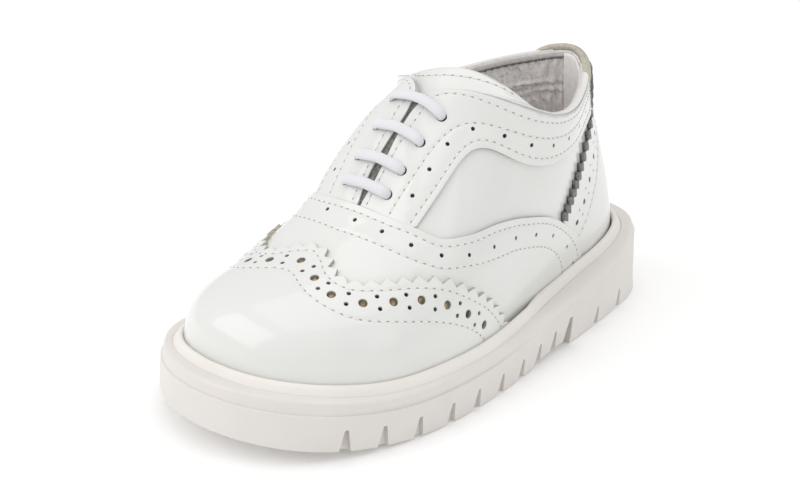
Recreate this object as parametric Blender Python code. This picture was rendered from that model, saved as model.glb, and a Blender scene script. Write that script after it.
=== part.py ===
"""Christening shoe: a toddler's white wing-tip oxford on a lugged sole, left foot.

Sizes below are in millimetres and are scaled to metres when a mesh is made.
The toe points to -Y, the heel to +Y, the outer side of the foot is +X and the floor is Z = 0.
"""
import math

import bmesh
import bpy
import numpy as np

MM = 0.001

# Driving sizes of the sole
SOLE_LENGTH = 165.0
FOREFOOT_HEIGHT = 12.8
HEEL_EXTRA = 2.4
TOE_SPRING = 6.0
SPRING_START = -35.0
ARCH_LIFT = 1.8
ARCH_START = -4.0
ARCH_RUN = 18.0
HEEL_BREAST = 22.5
HEEL_RISE_START = -20.0
HEEL_RISE_RUN = 70.0
SHOULDER_SPRING_SHARE = 0.85
RIM_SIDE_RISE = 1.0
RIM_SIDE_START = -25.0
RIM_SIDE_RUN = 35.0
RIM_HEEL_RISE = 5.2
RIM_HEEL_START = 24.0
RIM_HEEL_RUN = 50.0
RIM_TOE_INSET = 0.6
RIM_HEEL_INSET = 2.2
SIDE_TAPER = 1.2
TOE_END_START = -50.0
TOE_END_RUN = 25.0
HEEL_END_START = 48.0
HEEL_END_RUN = 24.0
STEP_DROP = 4.9
STEP_INSET = 0.5
NOTCH_PLACES = (-62.5, -53.5, -43.5, -32.5, -22.5, -12.0, -2.0, 6.5, 14.5, 40.0, 55.0)
NOTCH_HEIGHT = 4.4
NOTCH_DEPTH = 8.0
NOTCH_BOTTOM_WIDTH = 2.6
NOTCH_TOP_WIDTH = 1.0
BREAST_NOTCH_PLACE = 21.5
BREAST_NOTCH_HEIGHT = 7.0
BREAST_NOTCH_BOTTOM_WIDTH = 5.4
BREAST_NOTCH_TOP_WIDTH = 1.4
BREAST_NOTCH_REACH = 50.0

# Driving sizes of the upper and what covers it
WALL = 1.5
GAP = 0.3
LEATHER = 0.7
LEDGE_DEPTH = 1.0
WELT_WIDTH = 2.0
WELT_HEIGHT = 2.6
WELT_STEP_START = 0.66
WELT_STEP_RUN = 0.06
WELT_HEEL_START = 0.80
WELT_HEEL_RUN = 0.10
WELT_HEEL_EXTRA = 0.4
INSOLE_THICKNESS = 2.4
INSOLE_CLEARANCE = 1.0
TAB_RISE = 1.8
TONGUE_THICKNESS = 1.8
TONGUE_HALF_WIDTH = 18.6
TONGUE_TOP_Y = -3.4
TONGUE_SWEEP = 12.0
TONGUE_STATIONS = (0.50, 0.53, 0.56, 0.59)
TONGUE_SIDE_SHARE = 0.30
TONGUE_MOUTH_START = 0.60
TONGUE_MOUTH_RUN = 0.11
BAND_END_START = 0.86
BAND_END_RUN = 0.045
BAND_END_REACH = 0.05
BAND_CLEARANCE = 0.006
LACE_WIDTH = 3.0
LACE_HEIGHT = 1.9
SLIT_START = 0.44
SLIT_OPEN = 0.48
JOIN_DISTANCE = 0.02
EDGE_CLEARANCE = 0.004

# Outline of the sole's shoulder, toe tip to heel back:
# station, y, x of the outer side, x of the inner side
OUTLINE_COLUMNS = ("u", "y", "outer", "inner")
OUTLINE = (
    (0.000, -82.5, -2.0, -2.0),
    (0.085, -78.0, 14.2, -18.4),
    (0.180, -64.0, 27.4, -32.4),
    (0.335, -34.0, 35.4, -33.8),
    (0.530, 5.0, 33.2, -29.8),
    (0.690, 37.0, 29.8, -27.4),
    (0.790, 57.0, 26.6, -26.4),
    (0.890, 75.0, 18.6, -18.6),
    (1.000, 82.5, 0.0, 0.0),
)

# Sections of the upper, toe tip to heel back. A section is a curve from the feather line (foot of
# the wall) to the ridge, facing edge or collar:
# u station; yb, xb_o, xb_i foot of the wall on the outer and inner side; yt, xt_o, xt_i, zt_o, zt_i
# its top; rise and out, the foot's handle; full_o, full_i, lean, drop_o, drop_i, the top's handle;
# turn, the way the section faces in plan (0 sideways, 90 backwards).
SECTION_COLUMNS = ("u", "yb", "xb_o", "xb_i", "yt", "xt_o", "xt_i", "zt_o", "zt_i", "rise", "out",
                   "full_o", "full_i", "lean", "drop_o", "drop_i", "turn")
SECTIONS = (
    # tip and toe
    (0.00, -72.5, -4.0, -4.0, -72.5, -4.0, -4.0, 15.6, 15.6, .62, 0.0, .62, .62, 0.0, 0.0, 0.0, 0),
    (0.08, -71.1, 5.0, -12.8, -71.1, -4.0, -4.0, 23.6, 23.6, .64, 0.2, .64, .64, 0.0, 0.0, 0.0, 0),
    (0.16, -66.8, 12.9, -20.1, -66.8, -3.7, -3.7, 28.0, 28.0, .66, 0.5, .66, .66, 0.0, 0.0, 0.0, 0),
    (0.24, -59.6, 19.7, -25.0, -59.6, -2.9, -2.9, 31.0, 31.0, .66, 0.8, .66, .66, 0.0, 0.0, 0.0, 0),
    # cap and ball
    (0.32, -49.5, 25.2, -27.1, -49.5, -1.8, -1.8, 33.7, 33.7, .66, 1.2, .66, .73, 0.0, 0.0, 0.0, 0),
    (0.41, -36.5, 27.8, -27.6, -38.0, -0.6, -0.6, 39.0, 39.0, .64, 1.6, .63, .86, 0.0, 0.0, 0.0, 0),
    # throat, laces and the corner of the facing
    (0.48, -25.5, 28.5, -26.5, -29.2, 0.7, -0.7, 46.4, 46.4, .62, 1.6, .60, .89, 0.0, 0.4, 0.0, 0),
    (0.54, -15.5, 28.2, -25.4, -20.0, 0.7, -0.7, 57.6, 57.6, .58, 1.2, .58, .93, 0.0, 1.4, 0.2, 0),
    (0.60, -6.0, 27.2, -23.8, -9.0, 1.2, -1.2, 68.4, 68.2, .52, 0.8, .55, 1.0, 0.0, 3.4, 1.0, 0),
    (0.65, 2.0, 26.0, -22.4, -2.0, 9.0, -8.8, 71.8, 71.4, .46, 0.4, .50, .76, 0.0, 9.0, 6.0, 0),
    # mouth and ankle
    (0.70, 10.0, 24.6, -21.2, 6.0, 19.6, -19.0, 69.2, 68.9, .40, 0.2, .30, .34, 0.0, 15.0, 13.0, 0),
    (0.76, 22.0, 22.6, -20.2, 17.0, 22.8, -21.5, 65.2, 67.0, .36, 0.2, .00, .00, 0.3, 16.0, 16.0, 4),
    (0.82, 35.0, 20.9, -19.6, 30.0, 20.5, -20.2, 63.8, 66.6, .36, 0.4, .00, .00, 0.4, 16.0, 16.0, 10),
    # quarter and heel
    (0.88, 48.6, 19.6, -19.2, 43.3, 14.6, -16.4, 64.8, 68.2, .36, 0.6, .00, .00, 0.7, 16.0, 16.0, 22),
    (0.94, 64.4, 14.0, -14.4, 55.2, 7.8, -9.6, 66.8, 70.0, .36, 0.8, .00, .00, 1.7, 16.0, 16.0, 50),
    (1.00, 71.6, 0.0, 0.0, 60.6, 0.0, 0.0, 71.0, 71.0, .36, 0.8, .00, .00, 1.4, 16.0, 16.0, 90),
)

# Edges of the leather pieces on the outer side as (station, share of the section's height).
# The inner side repeats them.
WING_EDGE = ((0.375, 1.00), (0.345, 0.90), (0.335, 0.80), (0.345, 0.71), (0.40, 0.57), (0.45, 0.46),
             (0.50, 0.34), (0.55, 0.205), (0.59, 0.10), (0.625, 0.0))
VAMP_EDGE = ((0.478, 1.00), (0.478, 0.88), (0.484, 0.76), (0.497, 0.60), (0.52, 0.475), (0.56, 0.39),
             (0.61, 0.345), (0.67, 0.375), (0.72, 0.418), (0.765, 0.40), (0.81, 0.28), (0.84, 0.10),
             (0.845, 0.0))
BAND_EDGE = ((0.492, 0.665), (0.525, 0.655), (0.57, 0.645), (0.60, 0.645), (0.64, 0.652), (0.68, 0.675),
             (0.72, 0.70), (0.76, 0.725), (0.80, 0.752), (0.84, 0.773), (0.875, 0.786), (0.906, 0.793))
COUNTER_EDGE = ((0.856, 0.0), (0.851, 0.12), (0.828, 0.27), (0.810, 0.38), (0.824, 0.50), (0.853, 0.62),
                (0.892, 0.726), (0.926, 0.81), (0.949, 0.90), (0.963, 1.0))

# Top edge of the tongue from its inner to its outer corner: share of the half width, height
TONGUE_EDGE = ((-1.0, 69.2), (-0.5, 72.8), (0.0, 76.9), (0.5, 77.7), (0.8, 75.0), (1.0, 70.0))

# Centres of the eyelets along the facing, as stations, and how far down the section they are
EYELETS = (0.598, 0.562, 0.528, 0.498)
EYELET_SHARE = 0.855

WHITE_PATENT = (0.83, 0.84, 0.83, 1.0)
SOLE_WHITE = (0.84, 0.80, 0.77, 1.0)
LINING_GREY = (0.60, 0.56, 0.56, 1.0)
LACE_WHITE = (0.86, 0.86, 0.88, 1.0)


def clear_scene():
    """Remove what the scene holds."""
    for item in list(bpy.data.objects):
        bpy.data.objects.remove(item, do_unlink=True)


def material(name, colour, roughness):
    """One Principled material without metal."""
    made = bpy.data.materials.new(name)
    made.use_nodes = True
    shader = made.node_tree.nodes["Principled BSDF"]
    shader.inputs["Base Color"].default_value = colour
    shader.inputs["Roughness"].default_value = roughness
    shader.inputs["Metallic"].default_value = 0.0
    return made


def ease(t):
    """Smooth step from 0 to 1."""
    t = np.clip(t, 0.0, 1.0)
    return t * t * (3.0 - 2.0 * t)


def natural_spline(x, y):
    """Natural cubic spline through the knots, as a function of x."""
    x = np.asarray(x, float)
    y = np.asarray(y, float)
    count = len(x)
    h = np.diff(x)
    matrix = np.zeros((count, count))
    right = np.zeros(count)
    matrix[0, 0] = 1.0
    matrix[-1, -1] = 1.0
    for i in range(1, count - 1):
        matrix[i, i - 1] = h[i - 1]
        matrix[i, i] = 2.0 * (h[i - 1] + h[i])
        matrix[i, i + 1] = h[i]
        right[i] = 6.0 * ((y[i + 1] - y[i]) / h[i] - (y[i] - y[i - 1]) / h[i - 1])
    bend = np.linalg.solve(matrix, right)

    def value(t):
        t = np.asarray(t, float)
        i = np.clip(np.searchsorted(x, t, side="right") - 1, 0, count - 2)
        a = (x[i + 1] - t) / h[i]
        b = (t - x[i]) / h[i]
        curve = ((a ** 3 - a) * bend[i] + (b ** 3 - b) * bend[i + 1]) * h[i] ** 2 / 6.0
        return a * y[i] + b * y[i + 1] + curve

    return value


def knot_curve(knots):
    """Curve through (station, share) knots, as a function of 0..1 along their chord length."""
    points = np.array(knots)
    steps = np.hypot(np.diff(points[:, 0]) * 150.0, np.diff(points[:, 1]) * 50.0)
    along = np.concatenate([[0.0], np.cumsum(steps)])
    along /= along[-1]
    station = natural_spline(along, points[:, 0])
    share = natural_spline(along, points[:, 1])

    def value(t):
        return station(t), np.clip(share(t), 0.0, 1.0)

    return value


def read_columns(names, rows):
    """Table rows as one array per named column."""
    return {name: np.array([row[i] for row in rows], float) for i, name in enumerate(names)}


def around(stations, outer, inner):
    """Spline over 0..2: up the outer side from toe to heel, and back along the inner side."""
    x = np.concatenate([stations, 2.0 - stations[-2::-1]])
    return natural_spline(x, np.concatenate([outer, inner[-2::-1]]))


class Last:
    """The form of the upper: a function of station u (0..2 round the foot) and height s (0..1)."""

    def __init__(self):
        col = read_columns(SECTION_COLUMNS, SECTIONS)
        u = col["u"]
        pairs = {"xb": ("xb_o", "xb_i"), "xt": ("xt_o", "xt_i"), "zt": ("zt_o", "zt_i"),
                 "full": ("full_o", "full_i"), "drop": ("drop_o", "drop_i")}
        self.part = {name: around(u, col[a], col[b]) for name, (a, b) in pairs.items()}
        for name in ("yb", "yt", "rise", "out", "lean"):
            self.part[name] = around(u, col[name], col[name])
        self.part["turn"] = around(u, col["turn"], 180.0 - col["turn"])

    def top(self, u):
        """Top of the section. Outer and inner side share one ridge in front of the slit."""
        mirror = 2.0 - u
        opened = ease((np.minimum(u, mirror) - SLIT_START) / (SLIT_OPEN - SLIT_START))
        x_here, x_there = self.part["xt"](u), self.part["xt"](mirror)
        z_here, z_there = self.part["zt"](u), self.part["zt"](mirror)
        x = (x_here + x_there) / 2.0 + (x_here - x_there) / 2.0 * opened
        z = (z_here + z_there) / 2.0 + (z_here - z_there) / 2.0 * opened
        y = (self.part["yt"](u) + self.part["yt"](mirror)) / 2.0
        return np.stack([x, y, z], -1)

    def surface(self, u, s):
        """Outer face of the wall: a cubic curve from foot to top in every section."""
        u, s = np.broadcast_arrays(np.asarray(u, float), np.asarray(s, float))
        top = self.top(u)
        xb, yb = self.part["xb"](u), self.part["yb"](u)
        zb = shoulder_height(yb) - 0.4
        turn = np.radians(self.part["turn"](u))
        facing = np.stack([np.cos(turn), np.sin(turn), np.zeros_like(turn)], -1)
        upright = np.array([0.0, 0.0, 1.0])
        height = np.maximum(top[..., 2] - zb, 0.0)
        foot = np.stack([xb, yb, zb], -1)
        reach = self.part["full"](u) * np.abs(xb - top[..., 0]) + self.part["lean"](u)
        first = foot + facing * self.part["out"](u)[..., None]
        first = first + upright * (self.part["rise"](u) * height)[..., None]
        second = top + facing * reach[..., None] - upright * self.part["drop"](u)[..., None]
        s = s[..., None]
        t = 1.0 - s
        return t ** 3 * foot + 3.0 * t * t * s * first + 3.0 * t * s * s * second + s ** 3 * top

    def normal(self, u, s):
        """Outward unit normal by differences."""
        e = 1e-4
        u, s = np.broadcast_arrays(np.asarray(u, float), np.asarray(s, float))
        u = np.clip(u, 0.004, 1.996)
        along = self.surface(u + e, s) - self.surface(u - e, s)
        low, high = np.clip(s - e, 0.0, 1.0), np.clip(s + e, 0.0, 1.0)
        up = self.surface(u, high) - self.surface(u, low)
        cross = np.cross(along, up)
        return cross / np.maximum(np.linalg.norm(cross, axis=-1, keepdims=True), 1e-12)

    def offset(self, u, s, distance):
        """The surface moved along its normal, kept clear of the sole's ledge."""
        points = self.surface(u, s) + self.normal(u, s) * distance
        ledge = shoulder_height(points[..., 1]) - LEDGE_DEPTH + GAP
        points[..., 2] = np.maximum(points[..., 2], ledge)
        return points


def spring_height(y):
    """Lift of the sole's underside towards the toe."""
    share = np.clip((SPRING_START - y) / (SOLE_LENGTH / 2.0 + SPRING_START), 0.0, None)
    return TOE_SPRING * share ** 2


def bottom_height(y):
    """Underside of the sole: toe spring, then a low arch up to the heel breast."""
    arch = ARCH_LIFT * ease((y - ARCH_START) / ARCH_RUN) * (y < HEEL_BREAST)
    return spring_height(y) + arch


def shoulder_height(y):
    """Top of the sole's shoulder."""
    heel = HEEL_EXTRA * ease((y - HEEL_RISE_START) / HEEL_RISE_RUN)
    return FOREFOOT_HEIGHT + heel + SHOULDER_SPRING_SHARE * spring_height(y)


def rim_height(y):
    """Top of the sole's rim: the shoulder, raised along the sides and round the heel."""
    side = RIM_SIDE_RISE * ease((y - RIM_SIDE_START) / RIM_SIDE_RUN)
    heel = RIM_HEEL_RISE * ease((y - RIM_HEEL_START) / RIM_HEEL_RUN)
    return shoulder_height(y) + side + heel


def toe_end(y):
    """1 round the toe, 0 along the sides."""
    return ease((TOE_END_START - y) / TOE_END_RUN)


def heel_end(y):
    """1 round the heel, 0 along the sides."""
    return ease((y - HEEL_END_START) / HEEL_END_RUN)


def rim_inset(y):
    """How far the rim stands inside the sole's outline."""
    return RIM_TOE_INSET * toe_end(y) + RIM_HEEL_INSET * heel_end(y)


def foot_inset(y):
    """How far the underside's edge stands inside the sole's outline."""
    return SIDE_TAPER * (1.0 - toe_end(y) - heel_end(y))


def make_object(name, vertices, faces, finish):
    """A mesh object from millimetre vertices, with its normals turned outwards."""
    mesh = bpy.data.meshes.new(name)
    mesh.from_pydata([tuple(v * MM) for v in vertices], [], faces)
    work = bmesh.new()
    work.from_mesh(mesh)
    bmesh.ops.triangulate(work, faces=work.faces[:])
    bmesh.ops.recalc_face_normals(work, faces=work.faces[:])
    work.to_mesh(mesh)
    work.free()
    made = bpy.data.objects.new(name, mesh)
    made.data.materials.append(finish)
    bpy.context.scene.collection.objects.link(made)
    return made


def shell(name, outer, inner, finish, loop=False):
    """Closed wall between two grids of the same size, with rims round their open edges.

    Points of the outer grid that coincide, as along the ridge and at the toe tip, become one.
    """
    rows, columns = outer.shape[:2]
    flat_outer = outer.reshape(-1, 3)
    flat_inner = inner.reshape(-1, 3)
    group_of = {}
    index = np.empty(len(flat_outer), int)
    for i, point in enumerate(np.round(flat_outer / JOIN_DISTANCE).astype(int)):
        index[i] = group_of.setdefault(tuple(point), len(group_of))
    count = len(group_of)
    share = np.bincount(index, minlength=count)[:, None]
    out_points = np.zeros((count, 3))
    in_points = np.zeros((count, 3))
    np.add.at(out_points, index, flat_outer)
    np.add.at(in_points, index, flat_inner)
    grid = index.reshape(rows, columns)
    faces = []
    edges = {}
    last = columns if loop else columns - 1
    for i in range(rows - 1):
        for j in range(last):
            k = (j + 1) % columns
            corners = [grid[i, j], grid[i, k], grid[i + 1, k], grid[i + 1, j]]
            ring = [int(c) for n, c in enumerate(corners) if c != corners[n - 1]]
            if len(set(ring)) < 3 or len(set(ring)) != len(ring):
                continue
            faces.append(ring)
            for a, b in zip(ring, ring[1:] + ring[:1]):
                edges[(a, b)] = edges.get((a, b), 0) + 1
    rims = [(a, b) for (a, b) in edges if (b, a) not in edges]
    walls = [ring for ring in faces]
    walls += [[c + count for c in reversed(ring)] for ring in faces]
    walls += [[b, a, a + count, b + count] for a, b in rims]
    return make_object(name, np.concatenate([out_points / share, in_points / share]), walls, finish)


def make_outline():
    """Outline of the sole's shoulder as a closed function of u over 0..2."""
    col = read_columns(OUTLINE_COLUMNS, OUTLINE)
    u = np.concatenate([col["u"], 2.0 - col["u"][-2:0:-1]])
    x = np.concatenate([col["outer"], col["inner"][-2:0:-1]])
    y = np.concatenate([col["y"], col["y"][-2:0:-1]])
    u = np.concatenate([u - 2.0, u, u + 2.0])
    along_x = natural_spline(u, np.tile(x, 3))
    along_y = natural_spline(u, np.tile(y, 3))

    def value(t, inset=0.0):
        point = np.stack([along_x(t), along_y(t)], -1)
        ahead = np.stack([along_x(t + 1e-4), along_y(t + 1e-4)], -1) - point
        ahead = ahead / np.linalg.norm(ahead, axis=-1, keepdims=True)
        inward = np.stack([-ahead[..., 1], ahead[..., 0]], -1)
        return point + inward * np.asarray(inset)[..., None]

    return value


def welt_ring(last, u, outside):
    """Plan of the bead at a distance outside its inner edge, beyond the leather round the foot."""
    foot = last.surface(u, np.zeros_like(u))
    ahead = last.surface(u + 1e-4, np.zeros_like(u)) - foot
    outward = np.stack([ahead[:, 1], -ahead[:, 0]], -1)
    outward /= np.linalg.norm(outward, axis=-1, keepdims=True)
    layer = GAP + LEATHER
    near_toe = np.minimum(u, 2.0 - u)
    cover = layer + layer * (1.0 - ease((near_toe - WELT_STEP_START) / WELT_STEP_RUN)) + GAP
    cover = cover + WELT_HEEL_EXTRA * ease((near_toe - WELT_HEEL_START) / WELT_HEEL_RUN)
    return foot[:, :2] + outward * (cover + outside)[:, None]


def nearest(points, line):
    """Distance of each plan point to the nearest point of a line."""
    return np.linalg.norm(points[:, None, :] - line[None, :, :], axis=-1).min(1)


def make_sole(last, outline, finish):
    """Moulded sole: rings round its side, closed across from the outer to the inner side."""
    half = 40
    t = np.linspace(0.0, 2.0, 2 * half, endpoint=False)
    plan = outline(t)
    around_foot = np.linspace(0.004, 1.996, 300)
    shelf = nearest(plan, welt_ring(last, around_foot, WELT_WIDTH + GAP))
    pocket = nearest(plan, welt_ring(last, around_foot, 0.0))
    rim, foot = rim_inset(plan[:, 1]), foot_inset(plan[:, 1])
    ridge = STEP_INSET * (1.0 - ease((plan[:, 1] - RIM_SIDE_START) / RIM_SIDE_RUN))
    step = 0.4 * foot + 0.6 * rim
    # inset from the outline, the surface that gives the height, and height added to that
    rings = (
        (foot + 0.8, bottom_height, 0.0),
        (foot, bottom_height, 0.8),
        (step, rim_height, -STEP_DROP - 0.3),
        (step + ridge, rim_height, -STEP_DROP + 0.2),
        (rim + ridge + 0.2, rim_height, -1.2),
        (0.8 * (rim + ridge) + 0.2 * shelf + 0.2, rim_height, -0.4),
        (0.3 * rim + 0.7 * shelf, rim_height, -0.1),
        (shelf, rim_height, -LEDGE_DEPTH),
        (pocket, rim_height, -LEDGE_DEPTH),
        (pocket + GAP, shoulder_height, -LEDGE_DEPTH),
    )
    vertices = []
    for inset, level, extra in rings:
        plan = outline(t, inset)
        z = level(plan[:, 1]) + extra
        vertices += [np.array([p[0], p[1], h]) for p, h in zip(plan, z)]
    count = len(t)
    faces = []
    for level in range(len(rings) - 1):
        for i in range(count):
            j = (i + 1) % count
            a, b = level * count, (level + 1) * count
            faces.append([a + i, a + j, b + j, b + i])
    for base in (0, (len(rings) - 1) * count):
        faces.append([base, base + 1, base + count - 1])
        for i in range(1, half - 1):
            faces.append([base + i, base + i + 1, base + count - i - 1, base + count - i])
        faces.append([base + half - 1, base + half, base + half + 1])
    sole = make_object("outsole", vertices, faces, finish)
    cut_notches(sole, outline)
    return sole


def wedge(corner, inward, along, low_width, high_width, height, depth):
    """Eight corners of a notch cutter that narrows upwards and runs inwards from the side."""
    points = []
    for z, width in ((-1.0, low_width), (height, high_width)):
        for d in (-4.0, depth):
            for side in (-0.5, 0.5):
                plan = corner[:2] + inward * d + along * width * side
                points.append(np.array([plan[0], plan[1], corner[2] + z]))
    return points


def cut_notches(sole, outline):
    """Cut the lug notches of both sides and the wedge in front of the heel block."""
    stations = np.linspace(0.0, 2.0, 2001)
    line = outline(stations)
    box = ((0, 1, 3, 2), (4, 6, 7, 5), (0, 4, 5, 1), (2, 3, 7, 6), (0, 2, 6, 4), (1, 5, 7, 3))
    vertices, faces = [], []
    for half in (slice(0, 1001), slice(1000, 2001)):
        for place in NOTCH_PLACES:
            k = np.argmin(np.abs(line[half][:, 1] - place))
            u = stations[half][k]
            spot = outline(u)
            inward = outline(u, 1.0) - spot
            along = np.array([-inward[1], inward[0]])
            corner = np.array([spot[0], spot[1], float(bottom_height(spot[1]))])
            base = len(vertices)
            vertices += wedge(corner, inward, along, NOTCH_BOTTOM_WIDTH, NOTCH_TOP_WIDTH,
                              NOTCH_HEIGHT, NOTCH_DEPTH)
            faces += [[base + c for c in side] for side in box]
    base = len(vertices)
    start = np.array([-BREAST_NOTCH_REACH, BREAST_NOTCH_PLACE, 0.0])
    vertices += wedge(start, np.array([1.0, 0.0]), np.array([0.0, 1.0]), BREAST_NOTCH_BOTTOM_WIDTH,
                      BREAST_NOTCH_TOP_WIDTH, BREAST_NOTCH_HEIGHT, 2.0 * BREAST_NOTCH_REACH)
    faces += [[base + c for c in side] for side in box]
    cutter = make_object("notch_cutters", vertices, faces, sole.data.materials[0])
    cutter.hide_render = True
    cutter.display_type = "WIRE"
    cut = sole.modifiers.new("lug_notches", "BOOLEAN")
    cut.operation = "DIFFERENCE"
    cut.solver = "EXACT"
    cut.object = cutter


def make_upper(last, finish):
    """Hollow wall of the whole upper, open at collar, slit and underneath."""
    half = np.concatenate([np.linspace(0.0, 0.08, 5)[:-1], np.linspace(0.08, 1.0, 34)])
    u = np.concatenate([half, 2.0 - half[-2::-1]])
    s = np.linspace(0.0, 1.0, 11)
    grid_u, grid_s = np.meshgrid(u, s)
    return shell("upper", last.surface(grid_u, grid_s), last.offset(grid_u, grid_s, -WALL), finish)


def both_sides(u, s):
    """Stations and shares of the outer side with their mirror image on the inner side."""
    return np.concatenate([u[::-1], 2.0 - u[1:]]), np.concatenate([s[::-1], s[1:]])


def make_vamp(last, finish):
    """Leather from the wing tip's edge to the wavy edge along both sides."""
    t = np.linspace(0.0, 1.0, 26)
    front_u, front_s = knot_curve(WING_EDGE)(t)
    back_u, back_s = knot_curve(VAMP_EDGE)(t)
    tau = np.linspace(0.0, 1.0, 8)[None, :]
    front_u = front_u + EDGE_CLEARANCE
    u = (1.0 - tau) * front_u[:, None] + tau * back_u[:, None]
    s = (1.0 - tau) * front_s[:, None] + tau * back_s[:, None]
    u, s = both_sides(u, s)
    low, high = GAP, GAP + LEATHER
    return shell("vamp", last.offset(u, s, high), last.offset(u, s, low), finish)


def make_toe_cap(last, finish):
    """Wing tip up to its pinked edge, one leather thicker than the vamp that it overlaps."""
    edge_u, edge_s = knot_curve(WING_EDGE)(np.linspace(0.0, 1.0, 17))
    tau = np.linspace(0.0, 1.0, 13)[None, :]
    u, s = both_sides(tau * edge_u[:, None], edge_s[:, None] + 0.0 * tau)
    low, high = GAP, 2.0 * (GAP + LEATHER)
    return shell("toe_cap", last.offset(u, s, high), last.offset(u, s, low), finish)


def make_band(last, name, mirrored, finish):
    """Facing and collar band of one side, from the slit and topline down to its lower edge."""
    edge_u, edge_s = knot_curve(BAND_EDGE)(np.linspace(0.0, 1.0, 27))
    stop = np.interp(edge_s, [k[1] for k in COUNTER_EDGE], [k[0] for k in COUNTER_EDGE]) - BAND_CLEARANCE
    edge_u = np.minimum(edge_u, stop)
    tau = np.linspace(0.0, 1.0, 6)[None, :]
    end_u = edge_u + BAND_END_REACH * ease((edge_u - BAND_END_START) / BAND_END_RUN)
    end_u = np.minimum(end_u, COUNTER_EDGE[-1][0] - BAND_CLEARANCE)
    u = edge_u[:, None] + (end_u - edge_u)[:, None] * tau
    s = edge_s[:, None] + (1.0 - edge_s[:, None]) * tau
    if mirrored:
        u = 2.0 - u
    low, high = GAP, GAP + LEATHER
    return shell(name, last.offset(u, s, high), last.offset(u, s, low), finish)


def make_counter(last, finish):
    """Back piece, between its pinked front edges, with a tab above the collar."""
    edge_u, edge_s = knot_curve(COUNTER_EDGE)(np.linspace(0.0, 1.0, 10))
    across = np.linspace(-1.0, 1.0, 15)[None, :]
    u = 1.0 + across * (1.0 - edge_u[:, None])
    s = np.broadcast_to(edge_s[:, None], u.shape)
    tab = np.zeros(u.shape + (3,))
    tab[-1, :, 2] = TAB_RISE * ease(1.5 * (1.0 - np.abs(across[0])))
    low, high = GAP, GAP + LEATHER
    return shell("heel_counter", last.offset(u, s, high) + tab, last.offset(u, s, low) + tab, finish)


def tongue_rows(last, inside):
    """Rows of the tongue from its root to its top, each from the inner to the outer side."""
    reach = np.linspace(0.0, 1.0, 8)
    pairs = [(np.full(8, u), 1.0 - TONGUE_SIDE_SHARE * reach) for u in TONGUE_STATIONS]
    for share in (0.35, 0.7, 1.0):
        along = TONGUE_MOUTH_START + share * TONGUE_MOUTH_RUN * reach
        pairs.append((along, 1.0 - (1.0 - share) * TONGUE_SIDE_SHARE * reach))
    rows = []
    for u, s in pairs:
        outer = last.offset(u, s, -inside)
        inner = last.offset(2.0 - u, s, -inside)
        middle = (outer[:1] + inner[:1]) / 2.0
        rows.append(np.concatenate([inner[:0:-1], middle, outer[1:]]))
    across = np.linspace(-1.0, 1.0, 15)
    height = natural_spline([k[0] for k in TONGUE_EDGE], [k[1] for k in TONGUE_EDGE])
    top_edge = np.stack([TONGUE_HALF_WIDTH * across,
                         TONGUE_TOP_Y + TONGUE_SWEEP * across ** 2 + 0.5 * inside,
                         height(across) - 0.2 * inside], -1)
    below = rows[-1]
    for share in (0.35, 0.7, 1.0):
        rows.append(below + (top_edge - below) * share)
    return np.array(rows)


def make_tongue(last, finish):
    """Tongue under the facings, rising above the topline."""
    outside = WALL + GAP + 0.2
    return shell("tongue", tongue_rows(last, outside), tongue_rows(last, outside + TONGUE_THICKNESS),
                 finish)


def make_welt(last, finish):
    """Rounded bead on the sole's ledge, against the foot of the upper."""
    u = np.linspace(0.0, 2.0, 76, endpoint=False) + 0.012
    rings = []
    for angle in np.linspace(0.0, 2.0 * math.pi, 7, endpoint=False):
        plan = welt_ring(last, u, WELT_WIDTH / 2.0 * (1.0 + math.cos(angle)))
        height = WELT_HEIGHT / 2.0 * (1.0 + math.sin(angle))
        z = rim_height(plan[:, 1]) - LEDGE_DEPTH + GAP + height
        rings.append(np.column_stack([plan, z]))
    count = len(u)
    faces = []
    for i in range(len(rings)):
        for j in range(count):
            a, b = i * count, (i + 1) % len(rings) * count
            k = (j + 1) % count
            faces.append([a + j, a + k, b + k, b + j])
    return make_object("welt", np.concatenate(rings), faces, finish)


def make_insole(last, finish):
    """Insole plate inside the wall, on the sole."""
    half = 40
    u = np.linspace(0.0, 2.0, 2 * half, endpoint=False)
    foot = last.surface(u, np.zeros_like(u))
    step = np.roll(foot, -1, 0) - np.roll(foot, 1, 0)
    inward = np.stack([-step[:, 1], step[:, 0], 0.0 * u], -1)
    inward /= np.linalg.norm(inward, axis=-1, keepdims=True)
    rim = foot + inward * (WALL + GAP + INSOLE_CLEARANCE)
    base = shoulder_height(rim[:, 1]) - LEDGE_DEPTH + 2.0 * GAP
    vertices = []
    for level in (0.0, INSOLE_THICKNESS):
        vertices += [np.array([p[0], p[1], z + level]) for p, z in zip(rim, base)]
    count = len(u)
    faces = [[i, (i + 1) % count, count + (i + 1) % count, count + i] for i in range(count)]
    for start in (0, count):
        faces.append([start, start + 1, start + count - 1])
        for i in range(1, half - 1):
            faces.append([start + i, start + i + 1, start + count - i - 1, start + count - i])
        faces.append([start + half - 1, start + half, start + half + 1])
    return make_object("insole", vertices, faces, finish)


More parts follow.
